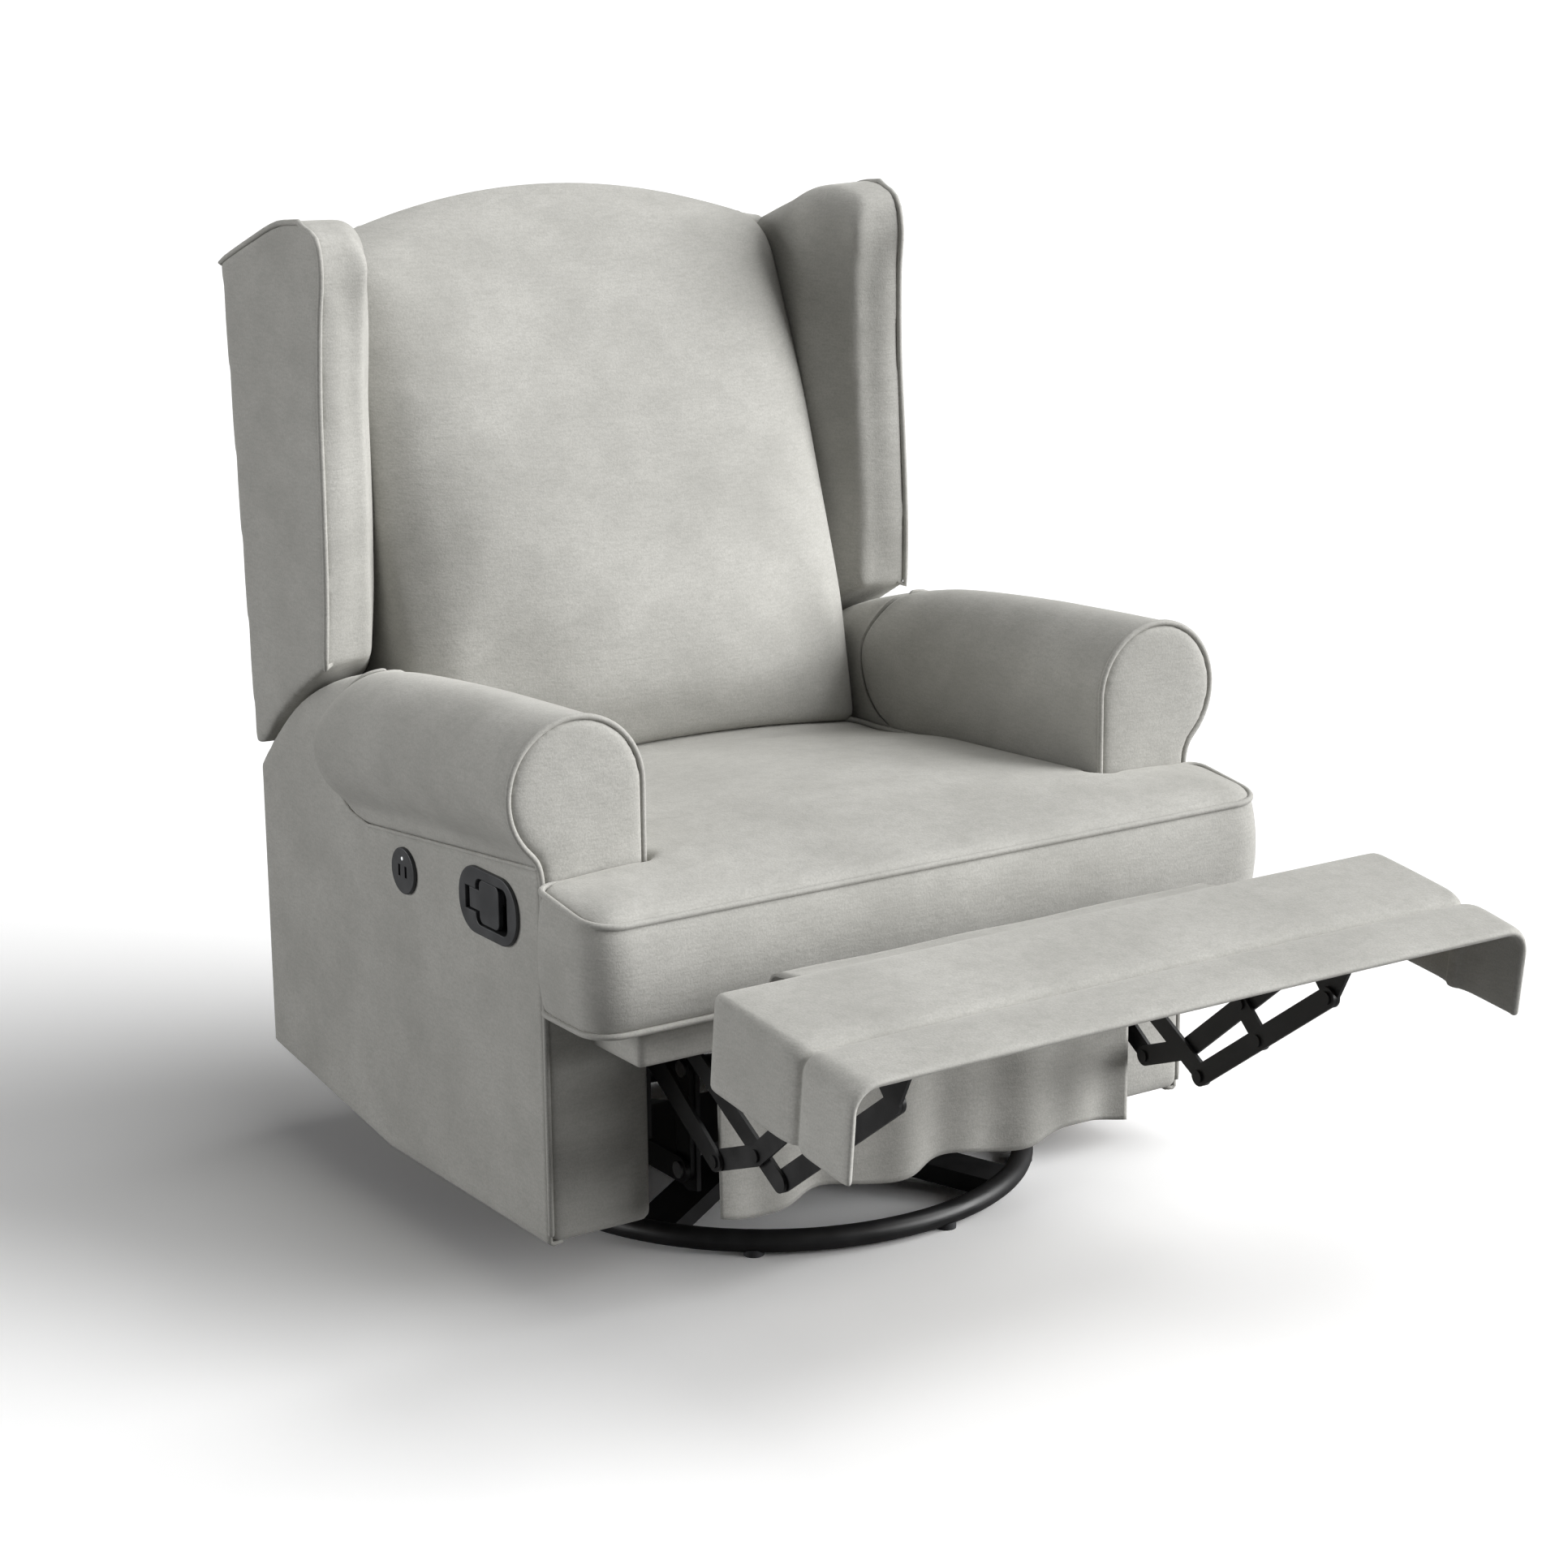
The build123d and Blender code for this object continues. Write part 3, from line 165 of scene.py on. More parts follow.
class Finish:
    """A procedural material, made once and shared by all that wear it."""

    name: str
    ground: str
    patterns: dict[str, Pattern]
    layers: tuple[Layer, ...] = ()
    reliefs: tuple[Relief, ...] = ()
    rubbing: Rubbing | None = None
    shader: dict = {}

    def coat(self, tree: bpy.types.NodeTree, base: bpy.types.NodeSocket) -> bpy.types.NodeSocket:
        """Gives the colour as it is; a finish may lay one more over it."""
        return base

    def build(self) -> bpy.types.Material:
        """Makes the material on object coordinates in metres.

        Returns:
            The material.
        """
        material = bpy.data.materials.new(self.name)
        material.use_nodes = True
        tree = material.node_tree
        tree.nodes.clear()
        coords = add_node(tree, "ShaderNodeTexCoord").outputs["Object"]
        found = {}
        for name, pattern in self.patterns.items():
            scale = tuple(1.0 / share for share in pattern.stretch)
            mapped = add_node(tree, "ShaderNodeMapping", {"Vector": coords, "Scale": scale})
            inputs = {"Vector": mapped.outputs["Vector"], "Scale": 1.0 / pattern.size}
            if pattern.mark is Mark.NOISE:
                inputs |= {"Detail": pattern.detail, "Roughness": NOISE_ROUGHNESS}
            found[name] = add_node(tree, pattern.mark.value, inputs).outputs["Fac"]
        base = linear(self.ground)
        for layer in self.layers:
            share = add_node(tree, "ShaderNodeMapRange", {
                "Value": found[layer.pattern], "From Min": layer.low, "From Max": layer.high,
                "To Max": layer.most})
            mixed = add_node(tree, "ShaderNodeMix", {
                "Factor": share.outputs["Result"], MIX_FIRST: base, MIX_SECOND: linear(layer.colour)},
                data_type="RGBA")
            base = mixed.outputs[MIX_RESULT]
        inputs = {"Base Color": self.coat(tree, base), **self.shader}
        if self.rubbing:
            rough = add_node(tree, "ShaderNodeMapRange", {
                "Value": found[self.rubbing.pattern], "From Min": RUBBED_LOW, "From Max": RUBBED_HIGH,
                "To Min": self.rubbing.start, "To Max": self.rubbing.end})
            inputs["Roughness"] = rough.outputs["Result"]
        for relief in self.reliefs:
            below = {"Normal": inputs["Normal"]} if "Normal" in inputs else {}
            bump = add_node(tree, "ShaderNodeBump", {
                "Height": found[relief.pattern], "Strength": relief.strength, "Distance": relief.height,
                **below})
            inputs["Normal"] = bump.outputs["Normal"]
        shader = add_node(tree, "ShaderNodeBsdfPrincipled", inputs)
        add_node(tree, "ShaderNodeOutputMaterial", {"Surface": shader.outputs["BSDF"]})
        return material


class Velvet(Finish):
    """Brushed grey upholstery velvet, woven polyester with a short cut pile."""

    # The pile lies in brushed patches about a hand wide, broken up by finger-wide strokes. Its tufts are
    # drawn several times coarser than the real ones so that they show, and the ground weave gives level ribs.
    name = "grey_velvet"
    ground = "#B3B2AD"
    patterns = {
        "cloud": Pattern(0.130, 6.0),
        "stroke": Pattern(0.030, 4.0, (1.8, 1.8, 1.0)),
        "crinkle": Pattern(0.0048),
        "grain": Pattern(0.0020, 3.0),
        "rib": Pattern(0.0027, 1.0, (5.0, 5.0, 1.0)),
    }
    layers = (
        Layer("cloud", "#C3C2BD", 0.32, 0.68),
        Layer("stroke", "#8F8E89", 0.38, 0.72, 0.20),
        Layer("grain", "#8F8E89", 0.36, 0.70, 0.34),
        Layer("rib", "#8F8E89", 0.42, 0.68, 0.16),
    )
    reliefs = (Relief("grain", 0.45, 0.0006), Relief("crinkle", 0.25, 0.0009), Relief("rib", 0.35, 0.0006))
    rubbing = Rubbing("stroke", 0.95, 0.80)
    shader = {"Sheen Weight": 0.4, "Sheen Roughness": 0.38, "Sheen Tint": linear("#E9E8E3"),
              "Specular IOR Level": 0.2}


class BlackSteel(Finish):
    """Satin black powder coat on steel."""

    # The coat shows a fine orange peel, and duller patches where it has been handled.
    name = "black_coated_steel"
    ground = "#1B1B1C"
    patterns = {"peel": Pattern(0.0022), "handled": Pattern(0.045, 3.0)}
    layers = (Layer("handled", "#2A2A2B", 0.4, 0.7),)
    reliefs = (Relief("peel", 0.2, 0.0003),)
    rubbing = Rubbing("handled", 0.34, 0.46)
    shader = {"Specular IOR Level": 0.55}


class BrightSteel(Finish):
    """Zinc-plated steel with fine draw marks."""

    # The draw marks spread the highlight along the pin, and the plating is clouded.
    name = "zinc_plated_steel"
    ground = "#B4B5B6"
    patterns = {"drawn": Pattern(0.0012, 3.0, (8.0, 1.0, 1.0)), "cloud": Pattern(0.012)}
    layers = (Layer("cloud", "#8D8E8F"),)
    reliefs = (Relief("drawn", 0.25, 0.0002),)
    rubbing = Rubbing("drawn", 0.28, 0.42)
    shader = {"Metallic": 1.0}


class MouldedPlastic(Finish):
    """Dark moulded ABS with a fine spark-eroded texture."""

    # The texture breaks the highlight up, and touched places are a little paler and smoother.
    name = "dark_moulded_plastic"
    ground = "#37383A"
    patterns = {"texture": Pattern(0.0009), "touched": Pattern(0.03)}
    layers = (Layer("touched", "#434446", 0.4, 0.7),)
    reliefs = (Relief("texture", 0.3, 0.0002),)
    rubbing = Rubbing("touched", 0.36, 0.5)


class Plywood(Finish):
    """Unfinished frame wood with long grain."""

    # Early and late wood run in long bands, with open pores between.
    name = "frame_wood"
    ground = "#C9A877"
    patterns = {
        "grain": Pattern(0.006, 4.0, (14.0, 1.0, 1.0)),
        "pores": Pattern(0.0012, 2.0, (10.0, 1.0, 1.0)),
    }
    layers = (Layer("grain", "#A37F51", 0.35, 0.65),)
    reliefs = (Relief("pores", 0.3, 0.0003),)
    shader = {"Roughness": 0.7}


class Webbing(Finish):
    """Black woven seat webbing and lining."""

    # Crossing yarns show as a fine check, and their fuzz takes the shine away.
    name = "black_webbing"
    ground = "#2B2B2D"
    patterns = {"weave": Pattern(0.0022, mark=Mark.CHECKER), "fuzz": Pattern(0.0015)}
    layers = (Layer("weave", "#151516"),)
    reliefs = (Relief("fuzz", 0.4, 0.0004),)
    shader = {"Roughness": 0.85}


class IndicatorLens(Finish):
    """Milky lens of the charging light."""

    # The lens is a little cloudy, and its faint glow is a painted highlight, not a lit lamp.
    name = "milky_lens"
    ground = "#F2F4F4"
    patterns = {"cloud": Pattern(0.001, 1.0)}
    layers = (Layer("cloud", "#DDE2E3"),)
    # The emission paints a faint highlight on the lens.
    shader = {"Roughness": 0.3, "Emission Color": linear("#F4F7F7"), "Emission Strength": 0.5}


class StudioFloor(Finish):
    """Pale seamless floor, shown brighter to the camera than to the light that it bounces."""

    # Matt paper: it takes the chair's shadow and no reflection.
    name = "studio_floor"
    ground = "#8A8A8A"
    patterns = {"speck": Pattern(0.02)}
    layers = (Layer("speck", "#878787"),)
    shader = {"Roughness": 0.9, "Specular IOR Level": 0.0}
    glow = 1.1

    def coat(self, tree: bpy.types.NodeTree, base: bpy.types.NodeSocket) -> bpy.types.NodeSocket:
        """Lays the brighter colour over what the camera sees.

        Args:
            tree: node tree of the material.
            base: colour of the paper.

        Returns:
            The colour for every kind of ray.
        """
        seen = add_node(tree, "ShaderNodeLightPath").outputs["Is Camera Ray"]
        mixed = add_node(tree, "ShaderNodeMix", {
            "Factor": seen, MIX_FIRST: base, MIX_SECOND: (self.glow, self.glow, self.glow, 1.0)},
            data_type="RGBA")
        return mixed.outputs[MIX_RESULT]


def even(points: np.ndarray, count: int) -> np.ndarray:
    """Spaces points evenly along a line.

    Args:
        points: points of the line, one row each.
        count: number of points to return.

    Returns:
        Points at equal distances, first and last kept.
    """
    steps = np.linalg.norm(np.diff(points, axis=0), axis=1)
    length = np.concatenate(([0.0], np.cumsum(steps)))
    wanted = np.linspace(0.0, length[-1], count)
    return np.stack([np.interp(wanted, length, points[:, k]) for k in range(points.shape[1])], axis=1)


def spline(points: Sequence[Sequence[float]], count: int) -> np.ndarray:
    """Runs a smooth line through a few points.

    Args:
        points: points to pass through, in order.
        count: number of points to return.

    Returns:
        Points at equal distances along the smooth line.
    """
    knots = np.array(points, dtype=float)
    ends = np.vstack((2 * knots[0] - knots[1], knots, 2 * knots[-1] - knots[-2]))
    runs = []
    for a, b, c, d in zip(ends[:-3], ends[1:-2], ends[2:-1], ends[3:]):
        t = np.linspace(0.0, 1.0, 24, endpoint=False)[:, None]
        runs.append(0.5 * (2 * b + (c - a) * t + (2 * a - 5 * b + 4 * c - d) * t**2
                           + (3 * b - a - 3 * c + d) * t**3))
    runs.append(knots[-1:])
    return even(np.vstack(runs), count)


def rounded(corners: Sequence[tuple[float, float, float]], steps: int = 6) -> np.ndarray:
    """Rounds the corners of a closed flat outline.

    Args:
        corners: two coordinates and a radius for each corner.
        steps: pieces in each rounded corner.

    Returns:
        Points of the outline.
    """
    points = []
    for index, (a, b, radius) in enumerate(corners):
        here = Vector((a, b))
        back = (Vector(corners[index - 1][:2]) - here).normalized()
        on = (Vector(corners[(index + 1) % len(corners)][:2]) - here).normalized()
        if radius <= 0.0:
            points.append(here)
            continue
        half = back.angle(on) / 2
        centre = here + (back + on).normalized() * (radius / math.sin(half))
        first = here + back * (radius / math.tan(half)) - centre
        last = here + on * (radius / math.tan(half)) - centre
        begin = math.atan2(first.y, first.x)
        turn = (math.atan2(last.y, last.x) - begin + math.pi) % (2 * math.pi) - math.pi
        for step in range(steps + 1):
            angle = begin + turn * step / steps
            points.append(centre + Vector((math.cos(angle), math.sin(angle))) * radius)
    return np.array([tuple(p) for p in points])


def inset(outline: np.ndarray, width: float) -> np.ndarray:
    """Draws a closed flat outline in.

    Args:
        outline: points of the outline.
        width: distance to draw it in by.

    Returns:
        Points of the smaller outline.
    """
    run = np.roll(outline, -1, axis=0) - np.roll(outline, 1, axis=0)
    run /= np.maximum(np.linalg.norm(run, axis=1, keepdims=True), TINY)
    turn = np.sum(outline[:, 0] * np.roll(outline[:, 1], -1) - np.roll(outline[:, 0], -1) * outline[:, 1])
    return outline + math.copysign(width, turn) * np.column_stack((-run[:, 1], run[:, 0]))


def edge_distance(places: np.ndarray, outline: np.ndarray) -> np.ndarray:
    """Distance of flat places from a closed outline.

    Args:
        places: two coordinates, one row each.
        outline: points of the outline.

    Returns:
        One distance for each place.
    """
    best = np.full(len(places), np.inf)
    for start, end in zip(outline, np.roll(outline, -1, axis=0)):
        run = end - start
        share = np.clip((places - start) @ run / max(run @ run, TINY**2), 0.0, 1.0)
        best = np.minimum(best, np.linalg.norm(places - start - share[:, None] * run, axis=1))
    return best


def ease(value: np.ndarray) -> np.ndarray:
    """Rises smoothly from 0 to 1, steep at first and level at the end."""
    share = np.clip(value, 0.0, 1.0)
    return np.sqrt(1.0 - (1.0 - share) ** 2)


def new_object(name: str, shape: bmesh.types.BMesh) -> bpy.types.Object:
    """Turns a finished bmesh into a smooth-shaded object.

    Args:
        name: name of the object.
        shape: mesh to take over.

    Returns:
        The new object, in the scene.
    """
    bmesh.ops.remove_doubles(shape, verts=shape.verts, dist=1e-5)
    bmesh.ops.recalc_face_normals(shape, faces=shape.faces)
    mesh = bpy.data.meshes.new(name)
    shape.to_mesh(mesh)
    shape.free()
    mesh.shade_smooth()
    piece = bpy.data.objects.new(name, mesh)
    bpy.context.scene.collection.objects.link(piece)
    return piece


def read_places(piece: bpy.types.Object) -> np.ndarray:
    """Reads the places of a mesh's vertices.

    Args:
        piece: mesh object.

    Returns:
        x, y, z, one row each.
    """
    places = np.empty(len(piece.data.vertices) * 3)
    piece.data.vertices.foreach_get("co", places)
    return places.reshape(-1, 3)


def write_places(piece: bpy.types.Object, places: np.ndarray) -> None:
    """Writes the places of a mesh's vertices, as rows of x, y, z."""
    piece.data.vertices.foreach_set("co", places.ravel())
    piece.data.update()


def bake(piece: bpy.types.Object) -> None:
    """Applies all modifiers of a piece.

    Args:
        piece: mesh object.
    """
    bpy.context.view_layer.update()
    seen = piece.evaluated_get(bpy.context.evaluated_depsgraph_get())
    mesh = bpy.data.meshes.new_from_object(seen)
    piece.modifiers.clear()
    old = piece.data
    piece.data = mesh
    bpy.data.meshes.remove(old)
    mesh.name = piece.name


def relax(piece: bpy.types.Object, rounds: int, chosen: np.ndarray | None = None) -> None:
    """Smooths a mesh a little.

    Args:
        piece: mesh object.
        rounds: number of passes.
        chosen: for each vertex, whether it may move; all of them if not given.
    """
    shape = bmesh.new()
    shape.from_mesh(piece.data)
    verts = [v for v in shape.verts if chosen is None or chosen[v.index]]
    for _ in range(rounds):
        bmesh.ops.smooth_vert(shape, verts=verts, factor=0.5, use_axis_x=True, use_axis_y=True,
                              use_axis_z=True)
    shape.to_mesh(piece.data)
    shape.free()
    piece.data.shade_smooth()


def remesh(piece: bpy.types.Object, voxel: float) -> None:
    """Rebuilds a closed mesh from even small faces.

    Args:
        piece: mesh object.
        voxel: size of the faces in metres.
    """
    modifier = piece.modifiers.new("voxels", "REMESH")
    modifier.mode = "VOXEL"
    modifier.voxel_size = voxel
    modifier.use_smooth_shade = True
    bake(piece)


def subdivide(piece: bpy.types.Object, levels: int = 1) -> None:
    """Adds a subdivision surface.

    Args:
        piece: mesh object.
        levels: number of subdivisions.
    """
    modifier = piece.modifiers.new("subdivision", "SUBSURF")
    modifier.levels = levels
    modifier.render_levels = levels


def block(name: str, outline: np.ndarray, low: float, high: float, facing: Facing,
          low_round: float = 0.0, high_round: float = 0.0) -> bpy.types.Object:
    """Makes a slab from an outline.

    Args:
        name: name of the object.
        outline: flat points of the outline.
        low: place of one face along the thickness.
        high: place of the other face.
        facing: plane of the outline.
        low_round: width of the rounded rim at the low face.
        high_round: width of the rounded rim at the high face.

    Returns:
        The new object.
    """
    shape = bmesh.new()
    level = np.full((len(outline), 1), low)
    ring = [shape.verts.new(p) for p in facing.to_world(np.hstack((outline, level)))]
    floor = shape.faces.new(ring)
    raised = bmesh.ops.extrude_face_region(shape, geom=[floor])["geom"]
    lift = Vector(facing.to_world(np.array([[0.0, 0.0, high - low]]))[0])
    bmesh.ops.translate(shape, verts=[g for g in raised if isinstance(g, bmesh.types.BMVert)], vec=lift)
    top = next(g for g in raised if isinstance(g, bmesh.types.BMFace))
    for face, width in ((floor, low_round), (top, high_round)):
        if width > 0.0:
            bmesh.ops.bevel(shape, geom=list(face.edges), offset=width, offset_type="OFFSET", segments=5,
                            profile=0.5, affect="EDGES", clamp_overlap=True, material=-1)
    return new_object(name, shape)


def lattice(points: np.ndarray) -> bmesh.types.BMesh:
    """Lays a grid of faces over rows of points.

    Args:
        points: rows, columns and x, y, z.

    Returns:
        The open mesh.
    """
    shape = bmesh.new()
    rows, columns = points.shape[:2]
    bmesh.ops.create_grid(shape, x_segments=columns - 1, y_segments=rows - 1, size=1.0)
    for vert, place in zip(shape.verts, points.reshape(-1, 3)):
        vert.co = place
    return shape


def grid(name: str, points: np.ndarray) -> bpy.types.Object:
    """Makes a sheet, as an object of the given name, from rows of points."""
    return new_object(name, lattice(points))


def thicken(piece: bpy.types.Object, depth: float) -> None:
    """Gives a sheet thickness, in metres, on the side away from its normals.

    Args:
        piece: mesh object.
        depth: thickness.
    """
    modifier = piece.modifiers.new("thickness", "SOLIDIFY")
    modifier.thickness = depth
    modifier.offset = -1.0


def face_outward(piece: bpy.types.Object, away_from: Sequence[float]) -> None:
    """Turns a sheet's normals away from a point inside it.

    Args:
        piece: mesh object.
        away_from: point on the inner side.
    """
    inside = Vector(away_from)
    total = sum((p.center - inside).dot(p.normal) * p.area for p in piece.data.polygons)
    if total < 0.0:
        piece.data.flip_normals()


def mirrored(piece: bpy.types.Object, name: str) -> bpy.types.Object:
    """Copies a piece to the other side of the chair.

    Args:
        piece: mesh object.
        name: name of the copy.

    Returns:
        The copy.
    """
    mesh = piece.data.copy()
    mesh.name = name
    mesh.transform(Matrix.Scale(-1.0, 4, Vector((1.0, 0.0, 0.0))))
    mesh.flip_normals()
    copy = bpy.data.objects.new(name, mesh)
    bpy.context.scene.collection.objects.link(copy)
    return copy


def piping(name: str, points: np.ndarray, radius: float, closed: bool = False) -> bpy.types.Object:
    """Makes a bead of piping along a seam.

    Args:
        name: name of the object.
        points: places of the seam.
        radius: radius of the bead.
        closed: whether the seam runs in a loop.

    Returns:
        The bead as a mesh object.
    """
    data = bpy.data.curves.new("bead_path", "CURVE")
    data.dimensions = "3D"
    data.bevel_depth = radius
    data.bevel_resolution = 3
    data.use_fill_caps = True
    run = data.splines.new("POLY")
    run.points.add(len(points) - 1)
    run.points.foreach_set("co", np.hstack((points, np.ones((len(points), 1)))).ravel())
    run.use_cyclic_u = closed
    holder = bpy.data.objects.new("bead_path", data)
    mesh = bpy.data.meshes.new_from_object(holder)
    mesh.name = name
    mesh.shade_smooth()
    bead = bpy.data.objects.new(name, mesh)
    bpy.context.scene.collection.objects.link(bead)
    bpy.data.objects.remove(holder)
    bpy.data.curves.remove(data)
    return bead


@dataclass(frozen=True)
class Stuffing:
    """How firmly a pad is filled: air pressure, the most that a point may move, ironing passes and frames."""

    pressure: float
    cap: float
    iron: int = 40
    frames: int = 20

    def swell(self, piece: bpy.types.Object, hold: np.ndarray) -> None:
        """Swells a remeshed pad as cloth and keeps the result in its mesh.

        Args:
            piece: closed mesh object.
            hold: for each vertex, 1 where it is sewn or rests on something and 0 where it is free.
        """
        before = read_places(piece)
        group = piece.vertex_groups.new(name="hold")
        for weight in (0.25, 0.5, 0.75, 1.0):
            chosen = np.nonzero(np.abs(hold - weight) <= 0.125)[0]
            if len(chosen):
                group.add(chosen.tolist(), weight, "REPLACE")
        cloth = piece.modifiers.new("swell", "CLOTH")
        cloth.settings.use_pressure = True
        cloth.settings.uniform_pressure_force = self.pressure
        cloth.settings.effector_weights.gravity = 0.0
        cloth.settings.vertex_group_mass = group.name
        cloth.settings.quality = 5
        cloth.collision_settings.use_collision = False
        cloth.point_cache.frame_start = 1
        cloth.point_cache.frame_end = self.frames
        scene = bpy.context.scene
        for number in range(1, self.frames + 1):
            scene.frame_set(number)
        bake(piece)
        scene.frame_set(1)
        move = read_places(piece) - before
        ends = np.empty(len(piece.data.edges) * 2, dtype=np.int32)
        piece.data.edges.foreach_get("vertices", ends)
        near, far = np.concatenate((ends[0::2], ends[1::2])), np.concatenate((ends[1::2], ends[0::2]))
        count = np.bincount(near, minlength=len(move))[:, None]
        free = (1.0 - hold)[:, None]
        # The filling is firm, so the loose wrinkles of the swelled cloth are ironed out.
        for _ in range(self.iron):
            around = np.column_stack([np.bincount(near, move[far, k], len(move)) for k in range(3)])
            move = free * 0.5 * (move + around / np.maximum(count, 1))
        length = np.maximum(np.linalg.norm(move, axis=1, keepdims=True), TINY)
        write_places(piece, before + move * (self.cap * np.tanh(length / self.cap) / length))
        piece.vertex_groups.clear()
        LOG.info("%s swelled by up to %.1f mm", piece.name, 1000 * float(length.max()))


class Wardrobe:
    """Finishes of the chair, each made once, and the way a piece puts one on."""

    def __init__(self) -> None:
        """Makes the finishes of the record's slots and an empty list of dressed pieces."""
        self.worn: list[bpy.types.Object] = []
        self.slots = {
            "upholstery": Velvet().build(),
            "frame_wood": Plywood().build(),
            "black_steel": BlackSteel().build(),
            "bright_steel": BrightSteel().build(),
            "dark_plastic": MouldedPlastic().build(),
            "webbing": Webbing().build(),
        }

    def dress_frame(self) -> None:
        """Gives every CAD node its finish."""
        for part in frame["record"]["subparts"]:
            node = frame["nodes"][part["node"]]
            for place in node.material_slots:
                place.material = self.slots[part["material_slot"]]

    def wear(self, piece: bpy.types.Object, body: str, slot: str = "upholstery",
             nodes: Sequence[str] = ()) -> None:
        """Dresses a piece and lets it ride.

        Args:
            piece: finished mesh object.
            body: CAD body that carries it.
            slot: the record's material slot.
            nodes: CAD nodes that it stands for.
        """
        piece.data.materials.clear()
        piece.data.materials.append(self.slots[slot])
        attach(piece, body)
        self.worn.append(piece)
        if nodes:
            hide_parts(*nodes)


@dataclass(frozen=True)
class SeatCushionSizes:
    """Sizes of the T-shaped seat cushion in metres."""

    ear_half: float = 0.4155
    body_half: float = 0.281
    front: float = -0.3355
    voxel: float = 0.007
    edge: float = 0.006
    skin: float = 0.002
    ear_rear: float = -0.2235
    ear_corner: float = 0.034
    ear_rear_corner: float = 0.016
    notch_corner: float = 0.008
    ear_rise: float = 0.016
    rear: float = 0.240
    rear_corner: float = 0.02
    rear_fall: float = 0.012
    fall_start: float = 0.02
    fall_length: float = 0.17
    under_back: float = 0.16
    bottom: float = 0.311
    welt: float = 0.422
    crown: float = 0.027
    crown_reach: float = 0.17
    boxing: float = 0.008
    boxing_core: float = 0.03
    side_sag: float = 0.024
    sag_end: float = 0.190
    bead: float = 0.0034


